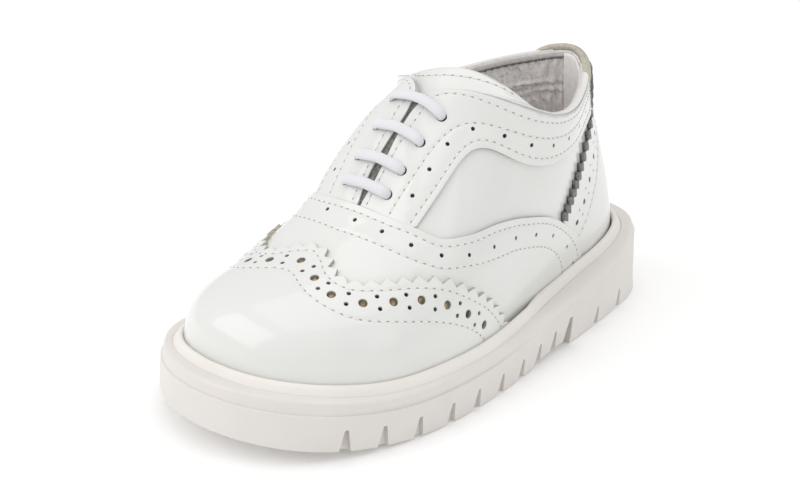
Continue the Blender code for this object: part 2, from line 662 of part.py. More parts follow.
def make_lace_bar(last, number, station, finish):
    """One straight bar of the lace, from eyelet to eyelet over the slit."""
    lift = 2.0 * GAP + LEATHER + LACE_HEIGHT / 2.0
    shares = np.linspace(EYELET_SHARE, 0.97, 5)
    outer = last.offset(np.full(5, station), shares, lift)
    inner = last.offset(np.full(5, 2.0 - station), shares, lift)
    path = np.concatenate([outer, inner[::-1]])
    path[4:6] += (path[3] + path[6] - path[4] - path[5]) * 0.1 + np.array([0.0, 0.0, 0.25])
    ahead = np.gradient(path, axis=0)
    ahead /= np.linalg.norm(ahead, axis=-1, keepdims=True)
    up = np.concatenate([last.normal(np.full(5, station), shares),
                         last.normal(np.full(5, 2.0 - station), shares)[::-1]])
    side = np.cross(ahead, up)
    side /= np.linalg.norm(side, axis=-1, keepdims=True)
    up = np.cross(side, ahead)
    around_count = 8
    vertices = []
    for angle in np.linspace(0.0, 2.0 * math.pi, around_count, endpoint=False):
        ring = path + side * LACE_WIDTH / 2.0 * math.cos(angle) + up * LACE_HEIGHT / 2.0 * math.sin(angle)
        vertices.append(ring)
    length = len(path)
    faces = []
    for i in range(around_count):
        a, b = i * length, (i + 1) % around_count * length
        faces += [[a + j, a + j + 1, b + j + 1, b + j] for j in range(length - 1)]
    faces.append([i * length for i in range(around_count)])
    faces.append([i * length + length - 1 for i in range(around_count)])
    return make_object("lace_bar_%d" % number, np.concatenate(vertices), faces, finish)


def main():
    """Build every piece of the shoe."""
    clear_scene()
    last = Last()
    outline = make_outline()
    make_sole(last, outline, material("sole_rubber", SOLE_WHITE, 0.45))
    make_welt(last, material("welt_rubber", SOLE_WHITE, 0.4))
    make_insole(last, material("insole_leather", LINING_GREY, 0.7))
    make_upper(last, material("upper_leather", WHITE_PATENT, 0.25))
    make_tongue(last, material("tongue_leather", WHITE_PATENT, 0.3))
    make_vamp(last, material("vamp_leather", WHITE_PATENT, 0.2))
    make_toe_cap(last, material("toe_cap_leather", WHITE_PATENT, 0.2))
    make_band(last, "eyestay_lateral", False, material("eyestay_lateral_leather", WHITE_PATENT, 0.2))
    make_band(last, "eyestay_medial", True, material("eyestay_medial_leather", WHITE_PATENT, 0.2))
    make_counter(last, material("heel_counter_leather", WHITE_PATENT, 0.2))
    for number, station in enumerate(EYELETS, 1):
        make_lace_bar(last, number, station, material("lace_%d_cotton" % number, LACE_WHITE, 0.8))


main()
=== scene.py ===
"""Christening shoe, dressed: a toddler's white patent wing-tip oxford for the left foot.

Lengths are millimetres until a mesh is written. The toe points to -Y, the heel to +Y, the outer side
of the foot is +X and the floor is Z = 0.
"""
import logging
import math
from dataclasses import dataclass, field
from enum import Enum
from typing import Callable, Protocol, Sequence

import bmesh
import bpy
import numpy as np
from mathutils import Matrix, Vector
from mathutils.geometry import delaunay_2d_cdt


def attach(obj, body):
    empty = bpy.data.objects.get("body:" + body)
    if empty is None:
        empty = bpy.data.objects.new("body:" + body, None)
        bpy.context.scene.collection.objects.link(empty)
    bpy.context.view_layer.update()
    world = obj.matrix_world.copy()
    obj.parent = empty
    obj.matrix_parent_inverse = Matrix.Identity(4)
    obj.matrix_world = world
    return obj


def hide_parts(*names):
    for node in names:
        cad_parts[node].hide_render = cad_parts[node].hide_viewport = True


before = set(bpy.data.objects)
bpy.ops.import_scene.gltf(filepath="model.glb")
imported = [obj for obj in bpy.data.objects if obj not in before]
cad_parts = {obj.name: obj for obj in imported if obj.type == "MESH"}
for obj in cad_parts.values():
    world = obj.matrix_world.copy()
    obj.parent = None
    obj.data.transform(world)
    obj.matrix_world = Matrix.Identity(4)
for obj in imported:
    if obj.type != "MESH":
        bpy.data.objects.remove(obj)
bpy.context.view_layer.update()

LOG = logging.getLogger("christening_shoe")
MM = 0.001
Array = np.ndarray
Values = np.ndarray | float
Span = tuple[float, float]
Triple = tuple[float, float, float]
Knots = Sequence[Span]
Material = bpy.types.Material
Socket = bpy.types.NodeSocket

# Driving sizes, the same as the solids have
SOLE_LENGTH = 165.0
FOREFOOT_HEIGHT = 12.8
HEEL_EXTRA = 2.4
TOE_SPRING = 6.0
SPRING_START = -35.0
ARCH_LIFT = 1.8
ARCH_START = -4.0
ARCH_RUN = 18.0
HEEL_BREAST = 22.5
HEEL_RISE_START = -20.0
HEEL_RISE_RUN = 70.0
SHOULDER_SPRING = 0.85
RIM_SIDE_RISE = 1.0
RIM_SIDE_START = -25.0
RIM_SIDE_RUN = 35.0
RIM_HEEL_RISE = 5.2
RIM_HEEL_START = 24.0
RIM_HEEL_RUN = 50.0
RIM_TOE_INSET = 0.6
RIM_HEEL_INSET = 2.2
SIDE_TAPER = 1.2
TOE_END_START = -50.0
TOE_END_RUN = 25.0
HEEL_END_START = 48.0
HEEL_END_RUN = 24.0
STEP_INSET = 0.5
GAP = 0.3
LEATHER = 0.7
LEDGE_DEPTH = 1.0
FOOT_BELOW_SHOULDER = 0.4
WELT_WIDTH = 2.0
TONGUE_TOP_Y = -3.4
SLIT_START = 0.44
SLIT_OPEN = 0.48
NOTCH_PLACES = (-62.5, -53.5, -43.5, -32.5, -22.5, -12.0, -2.0, 6.5, 14.5, 40.0, 55.0)
BREAST_NOTCH_PLACE = 21.5

# Sizes that depart from the solids', after a closer look at the photograph
STEP_DROP = 3.4
TONGUE_HALF_WIDTH = 19.6
TONGUE_SWEEP = 15.6
TONGUE_LEAN = 4.4

# Stations where the two sides of a closed panel part above the slit
PARTING_START = 0.50
PARTING_RUN = 0.04

# Rough millimetres of one station and of the full height, to space the knots of a line
STATION_LENGTH = 150.0
FULL_HEIGHT = 50.0

# Bead across its section: share from the leather to the shoulder, height above the sole's rim
BEAD_PROFILE = (
    (0.0, -0.9), (0.0, 0.9), (0.03, 1.45), (0.1, 1.85), (0.2, 2.05), (0.31, 2.0), (0.43, 1.7), (0.54, 1.2),
    (0.64, 0.68), (0.72, 0.28), (0.785, 0.02), (0.81, -0.2), (0.81, -0.5), (0.6, -0.9),
)

# Insole from its lower edge to its middle: inset, height above its underside
INSOLE_PROFILE = (
    (0.0, 0.0), (0.0, 1.9), (0.35, 2.3), (1.0, 2.4), (4.0, 2.25), (8.0, 2.1),
)

# Outline of the sole's shoulder: station, y, x of the outer side, x of the inner side
OUTLINE = (
    (0.000, -82.5, -2.0, -2.0),
    (0.085, -78.0, 14.2, -18.4),
    (0.180, -64.0, 27.4, -32.4),
    (0.335, -34.0, 35.4, -33.8),
    (0.530, 5.0, 33.2, -29.8),
    (0.690, 37.0, 29.8, -27.4),
    (0.790, 57.0, 26.6, -26.4),
    (0.890, 75.0, 18.6, -18.6),
    (1.000, 82.5, 0.0, 0.0),
)

# Sections of the upper from toe tip to heel back, with the columns that SECTION_COLUMNS names
SECTION_COLUMNS = ("u", "yb", "xb_o", "xb_i", "yt", "xt_o", "xt_i", "zt_o", "zt_i", "rise", "out",
                   "full_o", "full_i", "lean", "drop_o", "drop_i", "turn")
SECTIONS = (
    (0.00, -72.5, -4.0, -4.0, -72.5, -4.0, -4.0, 15.6, 15.6, .62, 0.0, .62, .62, 0.0, 0.0, 0.0, 0),
    (0.08, -71.1, 5.0, -12.8, -71.1, -4.0, -4.0, 23.6, 23.6, .64, 0.2, .64, .64, 0.0, 0.0, 0.0, 0),
    (0.16, -66.8, 12.9, -20.1, -66.8, -3.7, -3.7, 28.0, 28.0, .66, 0.5, .66, .66, 0.0, 0.0, 0.0, 0),
    (0.24, -59.6, 19.7, -25.0, -59.6, -2.9, -2.9, 31.0, 31.0, .66, 0.8, .66, .66, 0.0, 0.0, 0.0, 0),
    (0.32, -49.5, 25.2, -27.1, -49.5, -1.8, -1.8, 33.7, 33.7, .66, 1.2, .66, .73, 0.0, 0.0, 0.0, 0),
    (0.41, -36.5, 27.8, -27.6, -38.0, -0.6, -0.6, 39.0, 39.0, .64, 1.6, .63, .86, 0.0, 0.0, 0.0, 0),
    (0.48, -25.5, 28.5, -26.5, -29.2, 0.7, -0.7, 46.4, 46.4, .62, 1.6, .60, .89, 0.0, 0.4, 0.0, 0),
    (0.54, -15.5, 28.2, -25.4, -20.0, 0.7, -0.7, 57.6, 57.6, .58, 1.2, .58, .93, 0.0, 1.4, 0.2, 0),
    (0.60, -6.0, 27.2, -23.8, -9.0, 1.2, -1.2, 68.4, 68.2, .52, 0.8, .55, 1.0, 0.0, 3.4, 1.0, 0),
    (0.65, 2.0, 26.0, -22.4, -2.0, 9.0, -8.8, 71.8, 71.4, .46, 0.4, .50, .76, 0.0, 9.0, 6.0, 0),
    (0.70, 10.0, 24.6, -21.2, 6.0, 19.6, -19.0, 69.2, 68.9, .40, 0.2, .30, .34, 0.0, 15.0, 13.0, 0),
    (0.76, 22.0, 22.6, -20.2, 17.0, 22.8, -21.5, 65.2, 67.0, .36, 0.2, .00, .00, 0.3, 16.0, 16.0, 4),
    (0.82, 35.0, 20.9, -19.6, 30.0, 20.5, -20.2, 63.8, 66.6, .36, 0.4, .00, .00, 0.4, 16.0, 16.0, 10),
    (0.88, 48.6, 19.6, -19.2, 43.3, 14.6, -16.4, 64.8, 68.2, .36, 0.6, .00, .00, 0.7, 16.0, 16.0, 22),
    (0.94, 64.4, 14.0, -14.4, 55.2, 7.8, -9.6, 66.8, 70.0, .36, 0.8, .00, .00, 1.7, 16.0, 16.0, 50),
    (1.00, 71.6, 0.0, 0.0, 60.6, 0.0, 0.0, 71.0, 71.0, .36, 0.8, .00, .00, 1.4, 16.0, 16.0, 90),
)


class Side(Enum):
    """Side of the foot."""

    OUTER = 1
    INNER = -1


class Edge(Enum):
    """How the rim of a leather panel is finished."""

    FOLDED = 0
    RAW = 1


def ease(t: Array) -> Array:
    """Smooth step from 0 to 1."""
    t = np.clip(t, 0.0, 1.0)
    return t * t * (3.0 - 2.0 * t)


def unit(vectors: Array) -> Array:
    """Vectors of length one."""
    return vectors / np.maximum(np.linalg.norm(vectors, axis=-1, keepdims=True), 1e-12)


def turns(count: int) -> Array:
    """Angles spaced evenly round a circle."""
    return np.linspace(0.0, 2.0 * math.pi, count, endpoint=False)


def run_length(points: Array) -> Array:
    """Length along a path at each of its points."""
    steps = np.linalg.norm(np.diff(points, axis=0), axis=-1)
    return np.concatenate([[0.0], np.cumsum(steps)])


def natural_spline(x: Sequence[float], y: Array) -> Callable[[Array], Array]:
    """Natural cubic spline through knots, whose values may be numbers or rows of numbers.

    Args:
        x: Rising knot places.
        y: One value or one row of values for each knot.

    Returns:
        A function of the place that gives the spline's value there.
    """
    x = np.asarray(x, float)
    y = np.asarray(y, float)
    count = len(x)
    h = np.diff(x)
    matrix = np.eye(count)
    inner = np.arange(1, count - 1)
    matrix[inner, inner - 1] = h[:-1]
    matrix[inner, inner] = 2.0 * (h[:-1] + h[1:])
    matrix[inner, inner + 1] = h[1:]
    wide = h.reshape((-1,) + (1,) * (y.ndim - 1))
    slope = np.diff(y, axis=0) / wide
    right = np.zeros_like(y)
    right[1:-1] = 6.0 * np.diff(slope, axis=0)
    bend = np.linalg.solve(matrix, right.reshape(count, -1)).reshape(y.shape)

    def value(t: Array) -> Array:
        """Value of the spline at t."""
        t = np.asarray(t, float)
        i = np.clip(np.searchsorted(x, t, side="right") - 1, 0, count - 2)
        shape = t.shape + (1,) * (y.ndim - 1)
        a = ((x[i + 1] - t) / h[i]).reshape(shape)
        b = ((t - x[i]) / h[i]).reshape(shape)
        size = (h[i] ** 2 / 6.0).reshape(shape)
        return a * y[i] + b * y[i + 1] + ((a ** 3 - a) * bend[i] + (b ** 3 - b) * bend[i + 1]) * size

    return value


def smooth_line(knots: Knots, count: int = 160) -> Array:
    """Smooth curve through (station, share) knots, as a natural spline over their chord length.

    Args:
        knots: Places on the form.
        count: Number of points of the curve.

    Returns:
        Array of (station, share) rows.
    """
    points = np.array(knots, float)
    along = run_length(points * np.array([STATION_LENGTH, FULL_HEIGHT]))
    return natural_spline(along / along[-1], points)(np.linspace(0.0, 1.0, count))


def spring_height(y: Array) -> Array:
    """Lift of the sole's underside towards the toe, rising with the square of the distance."""
    share = np.clip((SPRING_START - y) / (SOLE_LENGTH / 2.0 + SPRING_START), 0.0, None)
    return TOE_SPRING * share ** 2


def bottom_height(y: Array) -> Array:
    """Underside of the sole: toe spring, then a low arch up to the heel breast."""
    return spring_height(y) + ARCH_LIFT * ease((y - ARCH_START) / ARCH_RUN) * (y < HEEL_BREAST)


def shoulder_height(y: Array) -> Array:
    """Top of the sole's shoulder."""
    rise = HEEL_EXTRA * ease((y - HEEL_RISE_START) / HEEL_RISE_RUN)
    return FOREFOOT_HEIGHT + rise + SHOULDER_SPRING * spring_height(y)


def rim_height(y: Array) -> Array:
    """Top of the sole's rim: the shoulder, raised along the sides and round the heel."""
    side = RIM_SIDE_RISE * ease((y - RIM_SIDE_START) / RIM_SIDE_RUN)
    heel = RIM_HEEL_RISE * ease((y - RIM_HEEL_START) / RIM_HEEL_RUN)
    return shoulder_height(y) + side + heel


def toe_end(y: Array) -> Array:
    """1 round the toe, 0 along the sides."""
    return ease((TOE_END_START - y) / TOE_END_RUN)


def heel_end(y: Array) -> Array:
    """1 round the heel, 0 along the sides."""
    return ease((y - HEEL_END_START) / HEEL_END_RUN)


def rim_inset(y: Array) -> Array:
    """How far the rim stands inside the sole's outline."""
    return RIM_TOE_INSET * toe_end(y) + RIM_HEEL_INSET * heel_end(y)


def foot_inset(y: Array) -> Array:
    """How far the underside's edge stands inside the sole's outline."""
    return SIDE_TAPER * (1.0 - toe_end(y) - heel_end(y))


def nearest(points: Array, line: Array) -> Array:
    """Distance of each plan point to the nearest point of a line."""
    return np.linalg.norm(points[:, None, :] - line[None, :, :], axis=-1).min(1)


class Form:
    """The form of the upper: a function of station u, 0..2 round the foot, and share s of height."""

    def __init__(self) -> None:
        """Lay splines round the foot through the columns of the sections."""
        rows = np.array(SECTIONS, float)
        col = {name: rows[:, i] for i, name in enumerate(SECTION_COLUMNS)}
        x = np.concatenate([col["u"], 2.0 - col["u"][-2::-1]])

        def around(outer: Array, inner: Array) -> Callable[[Array], Array]:
            """Spline up the outer side and back along the inner one."""
            return natural_spline(x, np.concatenate([outer, inner[-2::-1]]))

        self.part = {name: around(col[name + "_o"], col[name + "_i"])
                     for name in ("xb", "xt", "zt", "full", "drop")}
        for name in ("yb", "yt", "rise", "out", "lean"):
            self.part[name] = around(col[name], col[name])
        self.part["turn"] = around(col["turn"], 180.0 - col["turn"])

    def top(self, u: Array, closed: bool) -> Array:
        """Top of the section; both sides share one ridge in front of the slit, or all along if closed."""
        mirror = 2.0 - u
        opened = ease((np.minimum(u, mirror) - SLIT_START) / (SLIT_OPEN - SLIT_START))
        if closed:
            opened = opened * ease((np.minimum(u, mirror) - PARTING_START) / PARTING_RUN)
        x_here, x_there = self.part["xt"](u), self.part["xt"](mirror)
        z_here, z_there = self.part["zt"](u), self.part["zt"](mirror)
        x = (x_here + x_there) / 2.0 + (x_here - x_there) / 2.0 * opened
        z = (z_here + z_there) / 2.0 + (z_here - z_there) / 2.0 * opened
        y = (self.part["yt"](u) + self.part["yt"](mirror)) / 2.0
        return np.stack([x, y, z], -1)

    def surface(self, u: Values, s: Values, closed: bool = False) -> Array:
        """Outer face of the wall: a cubic curve from foot to top in every section."""
        u, s = np.broadcast_arrays(np.asarray(u, float), np.asarray(s, float))
        top = self.top(u, closed)
        xb, yb = self.part["xb"](u), self.part["yb"](u)
        zb = shoulder_height(yb) - FOOT_BELOW_SHOULDER
        turn = np.radians(self.part["turn"](u))
        facing = np.stack([np.cos(turn), np.sin(turn), np.zeros_like(turn)], -1)
        upright = np.array([0.0, 0.0, 1.0])
        height = np.maximum(top[..., 2] - zb, 0.0)
        foot = np.stack([xb, yb, zb], -1)
        reach = self.part["full"](u) * np.abs(xb - top[..., 0]) + self.part["lean"](u)
        first = foot + facing * self.part["out"](u)[..., None]
        first = first + upright * (self.part["rise"](u) * height)[..., None]
        second = top + facing * reach[..., None] - upright * self.part["drop"](u)[..., None]
        s = s[..., None]
        t = 1.0 - s
        return t ** 3 * foot + 3.0 * t * t * s * first + 3.0 * t * s * s * second + s ** 3 * top

    def normal(self, u: Values, s: Values, closed: bool = False) -> Array:
        """Outward unit normal by differences."""
        e = 1e-4
        u, s = np.broadcast_arrays(np.asarray(u, float), np.asarray(s, float))
        u = np.clip(u, 0.004, 1.996)
        along = self.surface(u + e, s, closed) - self.surface(u - e, s, closed)
        low, high = np.clip(s - e, 0.0, 1.0), np.clip(s + e, 0.0, 1.0)
        up = self.surface(u, high, closed) - self.surface(u, low, closed)
        return unit(np.cross(along, up))

    def offset(self, u: Values, s: Values, distance: Values, closed: bool = False) -> Array:
        """The surface moved along its normal, kept clear of the sole's ledge."""
        away = np.asarray(distance, float)[..., None]
        points = self.surface(u, s, closed) + self.normal(u, s, closed) * away
        ledge = shoulder_height(points[..., 1]) - LEDGE_DEPTH + GAP
        points[..., 2] = np.maximum(points[..., 2], ledge)
        return points


class Chart:
    """Flat pattern of the form: (u, v) rows to nearly true millimetres and back.

    v is the share of height below the ridge, 0 at the ridge or collar and 1 at the foot, positive on the
    side that u names and negative across the ridge on the other side.
    """

    def __init__(self, form: Form) -> None:
        """Measure the form's sections and its length halfway up."""
        self.form = form
        self.u = np.linspace(0.0, 2.0, 601)
        grid = form.surface(self.u[:, None], np.linspace(0.0, 1.0, 41)[None, :], True)
        sections = np.linalg.norm(np.diff(grid, axis=1), axis=-1).sum(1)
        self.width = np.maximum(sections, 2.0)
        steps = np.linalg.norm(np.diff(grid[:, 20], axis=0), axis=-1)
        self.along = np.concatenate([[0.0], np.cumsum(np.maximum(steps, 0.02))])

    def flat(self, uv: Array) -> Array:
        """Pattern place in millimetres: v times the section's length, and the length along the shoe."""
        wide = np.interp(uv[..., 0], self.u, self.width)
        return np.stack([uv[..., 1] * wide, np.interp(uv[..., 0], self.u, self.along)], -1)

    def lift(self, xy: Array) -> Array:
        """The (u, v) rows of pattern places."""
        u = np.interp(xy[..., 1], self.along, self.u)
        return np.stack([u, xy[..., 0] / np.interp(u, self.u, self.width)], -1)

    def point(self, uv: Array, height: Values, closed: bool) -> Array:
        """Place in space, at a height above the form."""
        u = np.where(uv[..., 1] >= 0.0, uv[..., 0], 2.0 - uv[..., 0])
        return self.form.offset(u, np.clip(1.0 - np.abs(uv[..., 1]), 0.0, 1.0), height, closed)

    def metric(self, uv: Array) -> Array:
        """Lengths on the form of steps in the pattern, as a 2 by 2 matrix for each row."""
        e = 0.1
        v = np.clip(np.abs(uv[..., 1]), 0.01, 0.99) * np.where(uv[..., 1] < 0.0, -1.0, 1.0)
        flat = self.flat(np.stack([uv[..., 0], v], -1))
        steps = []
        for shift in np.eye(2) * e:
            ahead = self.point(self.lift(flat + shift), 0.0, True)
            steps.append((ahead - self.point(self.lift(flat - shift), 0.0, True)) / (2.0 * e))
        axes = np.stack(steps, -2)
        return axes @ np.swapaxes(axes, -1, -2)

    def left(self, uv: Array, ahead: Array) -> Array:
        """Pattern step of one true millimetre to the left of a run, square to it on the form."""
        turned = np.stack([-ahead[..., 1], ahead[..., 0]], -1)
        step = np.linalg.solve(self.metric(uv), turned[..., None])[..., 0]
        return step / np.sqrt(np.maximum((turned * step).sum(-1, keepdims=True), 1e-9))

    def sideways(self, uv: Array, distance: float) -> Array:
        """A curve moved sideways on the form by millimetres, to the left of its run."""
        flat = self.flat(uv)
        return self.lift(flat + self.left(uv, unit(np.gradient(flat, axis=0))) * distance)

    def resampled(self, uv: Array, step: float) -> Array:
        """A curve with points at nearly even steps along it on the form."""
        run = run_length(self.point(uv, 0.0, True))
        count = max(2, int(round(run[-1] / step)) + 1)
        places = np.linspace(0.0, run[-1], count)
        return np.stack([np.interp(places, run, uv[:, 0]), np.interp(places, run, uv[:, 1])], -1)


def across_ridge(knots: Knots) -> Array:
    """Curve from the inner foot over the ridge to the outer foot, from knots of the outer side."""
    outer = one_side(knots)
    inner = outer * np.array([1.0, -1.0])
    return np.concatenate([inner[:0:-1], outer])


def one_side(knots: Knots) -> Array:
    """Curve on the outer side as (u, v) rows."""
    line = smooth_line(knots)
    return np.stack([line[:, 0], 1.0 - line[:, 1]], -1)


def mirrored(uv: Array) -> Array:
    """Rows of the outer side carried to the inner side."""
    return np.stack([2.0 - uv[:, 0], uv[:, 1]], -1)


def line_distance(points: Array, line: Array) -> Array:
    """Distance of flat points to a polyline."""
    best = np.full(len(points), np.inf)
    for a, b in zip(line[:-1], line[1:]):
        ab = b - a
        t = np.clip(((points - a) @ ab) / max(ab @ ab, 1e-9), 0.0, 1.0)
        gap = points - a - t[:, None] * ab
        best = np.minimum(best, gap[:, 0] ** 2 + gap[:, 1] ** 2)
    return np.sqrt(best)


def inside(points: Array, loop: Array) -> Array:
    """Whether flat points lie in a closed loop, by counting crossings."""
    x, y = points[:, 0], points[:, 1]
    odd = np.zeros(len(points), bool)
    for (ax, ay), (bx, by) in zip(loop, np.roll(loop, -1, axis=0)):
        if ay == by:
            continue
        hit = ((ay > y) != (by > y)) & (x < (bx - ax) * (y - ay) / (by - ay) + ax)
        odd ^= hit
    return odd


def new_piece(name: str, points: Array, faces: Sequence, materials: Sequence[Material],
              slot: str, nodes: Sequence[str] = (), index: Array | None = None,
              normals: Array | None = None) -> bpy.types.Object:
    """A smooth mesh piece that rides on the shoe.

    Args:
        name: Name of the piece.
        points: Vertices in millimetres.
        faces: Vertex rows of the faces, turned outwards.
        materials: Finishes of the piece.
        slot: Not used.
        nodes: CAD nodes that the piece stands for.
        index: Finish of each face.
        normals: Vertex normals, where the surface gives them.

    Returns:
        The new object.
    """
    mesh = bpy.data.meshes.new(name)
    rows = faces.tolist() if isinstance(faces, np.ndarray) else [list(map(int, f)) for f in faces]
    mesh.from_pydata((np.asarray(points) * MM).tolist(), [], rows)
    mesh.polygons.foreach_set("use_smooth", np.ones(len(mesh.polygons), bool))
    for finish in materials:
        mesh.materials.append(finish)
    if index is not None:
        mesh.polygons.foreach_set("material_index", np.asarray(index, np.int32))
    mesh.update()
    if normals is not None:
        mesh.normals_split_custom_set_from_vertices(unit(normals).tolist())
    made = bpy.data.objects.new(name, mesh)
    bpy.context.scene.collection.objects.link(made)
    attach(made, "root")
    if nodes:
        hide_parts(*nodes)
    LOG.info("%s: %d faces", name, len(mesh.polygons))
    return made


def grid_faces(rows: int, columns: int, loop_rows: bool = False, loop_columns: bool = False,
               start: int = 0) -> Array:
    """Quads of a grid whose vertices run along its columns first."""
    i = np.arange(rows if loop_rows else rows - 1)
    j = np.arange(columns if loop_columns else columns - 1)
    i, j = (part.ravel() for part in np.meshgrid(i, j, indexing="ij"))
    i2, j2 = (i + 1) % rows, (j + 1) % columns
    return start + np.stack([i * columns + j, i * columns + j2, i2 * columns + j2, i2 * columns + j], -1)


def closed_sheet(outer: Array, inner: Array) -> tuple[Array, Array]:
    """Vertices and quads of a wall between two grids, with rims round their edges.

    Args:
        outer: Grid of points whose quads face outwards.
        inner: Grid of the same size behind it.

    Returns:
        Vertices and faces.
    """
    rows, columns = outer.shape[:2]
    count = rows * columns
    front = grid_faces(rows, columns)
    back = front[:, ::-1] + count
    grid = np.arange(count).reshape(rows, columns)
    ring = np.concatenate([grid[0, :], grid[1:, -1], grid[-1, -2::-1], grid[-2:0:-1, 0]])
    after = np.roll(ring, -1)
    rim = np.stack([after, ring, ring + count, after + count], -1)
    return np.concatenate([outer.reshape(-1, 3), inner.reshape(-1, 3)]), np.concatenate([front, back, rim])


def tube(path: Array, side: Array, up: Array, wide: Array, high: Array, around: int,
         loop: bool = False) -> tuple[Array, list]:
    """An oval profile carried along a path.

    Args:
        path: Points of the centre line.
        side: Direction of the oval's width at each point.
        up: Direction of its height at each point.
        wide: Half width at each point.
        high: Half height at each point.
        around: Points round the oval.
        loop: Whether the path closes.

    Returns:
        Vertices and faces, with caps at the ends of an open path.
    """
    angle = turns(around)
    wide, high = (np.broadcast_to(np.asarray(w, float), len(path)) for w in (wide, high))
    ring = (path[:, None] + side[:, None] * (np.cos(angle)[None, :, None] * wide[:, None, None])
            + up[:, None] * (np.sin(angle)[None, :, None] * high[:, None, None]))
    faces = grid_faces(len(path), around, loop, True).tolist()
    if not loop:
        end = (len(path) - 1) * around
        faces.append(list(range(around))[::-1])
        faces.append(list(range(end, end + around)))
    points = ring.reshape(-1, 3)
    a, b, c = points[faces[0][0]], points[faces[0][1]], points[faces[0][2]]
    if np.dot(np.cross(b - a, c - a), a - path[0]) < 0.0:
        faces = [face[::-1] for face in faces]
    return points, faces


def joined(parts: Sequence[tuple[Array, Sequence]]) -> tuple[Array, list]:
    """Several meshes as one, each given as vertices and faces."""
    starts = np.cumsum([0] + [len(points) for points, _ in parts]).tolist()
    faces = [[int(corner) + start for corner in face]
             for (_, rows), start in zip(parts, starts) for face in rows]
    return np.concatenate([points for points, _ in parts]), faces


def coins(rims: Array, lift: Array, sink: Array) -> tuple[Array, list]:
    """Flat closed discs.

    Args:
        rims: Points round each disc.
        lift: Step from the rim up to the upper face of each disc.
        sink: Step down to its lower face, to be taken off.

    Returns:
        Vertices and faces: all upper faces, all lower ones, then the walls.
    """
    ring = np.arange(rims.shape[0] * rims.shape[1]).reshape(rims.shape[:2])
    after = np.roll(ring, -1, axis=1)
    walls = np.stack([after, ring, ring + ring.size, after + ring.size], -1).reshape(-1, 4)
    points = np.concatenate([(rims + lift[:, None]).reshape(-1, 3), (rims - sink[:, None]).reshape(-1, 3)])
    return points, ring.tolist() + (ring[:, ::-1] + ring.size).tolist() + walls.tolist()


def capped_rings(rings: int, half: int) -> list:
    """Faces of closed rings of twice half points, with strips across the first and the last ring."""
    count = 2 * half
    faces = grid_faces(rings, count, False, True).tolist()
    k = np.arange(1, half - 1)
    for base in (0, (rings - 1) * count):
        faces += (np.stack([k, k + 1, count - k - 1, count - k], -1) + base).tolist()
        faces += [[base, base + 1, base + count - 1], [base + half - 1, base + half, base + half + 1]]
    return faces


def face_outwards(mesh: bpy.types.Mesh) -> None:
    """Turn the faces of closed meshes outwards."""
    work = bmesh.new()
    work.from_mesh(mesh)
    bmesh.ops.recalc_face_normals(work, faces=work.faces[:])
    work.to_mesh(mesh)
    work.free()


class Nodes:
    """Short way to build one material's node tree."""

    def __init__(self, name: str) -> None:
        """Start a material of that name."""
        self.material = bpy.data.materials.new(name)
        self.material.use_nodes = True
        self.tree = self.material.node_tree
        self.shader = self.tree.nodes["Principled BSDF"]

    def set(self, **values: float | tuple) -> None:
        """Set sockets of the shader, with underscores for blanks in their names."""
        for name, value in values.items():
            self.shader.inputs[name.replace("_", " ")].default_value = value

    def add(self, kind: str, inputs: dict | None = None, **settings: object) -> bpy.types.Node:
        """Add a node, link or set its inputs, and set its properties."""
        node = self.tree.nodes.new(kind)
        for name, value in settings.items():
            setattr(node, name, value)
        for name, value in (inputs or {}).items():
            if isinstance(value, Socket):
                self.tree.links.new(value, node.inputs[name])
            else:
                node.inputs[name].default_value = value
        return node

    def place(self, stretch: Triple = (1.0, 1.0, 1.0)) -> Socket:
        """Object coordinates, stretched."""
        source = self.add("ShaderNodeTexCoord").outputs["Object"]
        return self.add("ShaderNodeMapping", {"Vector": source, "Scale": stretch}).outputs["Vector"]

    def noise(self, place: Socket, scale: float, detail: float = 3.0,
              rough: float = 0.5) -> Socket:
        """Noise value at a scale per metre."""
        return self.add("ShaderNodeTexNoise", {"Vector": place, "Scale": scale, "Detail": detail,
                                               "Roughness": rough}).outputs["Fac"]

    def ramp(self, value: Socket, stops: Sequence[tuple[float, tuple]]) -> Socket:
        """Colours over a value."""
        node = self.add("ShaderNodeValToRGB", {"Fac": value})
        band = node.color_ramp.elements
        while len(band) < len(stops):
            band.new(0.5)
        for element, (place, colour) in zip(band, stops):
            element.position = place
            element.color = (*colour, 1.0)
        return node.outputs["Color"]

    def math(self, operation: str, a: object, b: object = 0.0) -> Socket:
        """One sum of two values."""
        return self.add("ShaderNodeMath", {0: a, 1: b}, operation=operation).outputs[0]

    def span(self, value: Socket, low: float, high: float) -> Socket:
        """A value from 0..1 spread over low..high."""
        return self.add("ShaderNodeMapRange", {"Value": value, "To Min": low, "To Max": high}).outputs[0]

    def bump(self, height: Socket, strength: float, depth: float,
             under: Socket | None = None) -> Socket:
        """Bump normal from a height, depth in metres."""
        inputs = {"Height": height, "Strength": strength, "Distance": depth}
        if under is not None:
            inputs["Normal"] = under
        return self.add("ShaderNodeBump", inputs).outputs["Normal"]

    def link(self, value: Socket, name: str) -> None:
        """Link a value to the shader."""
        self.tree.links.new(value, self.shader.inputs[name])


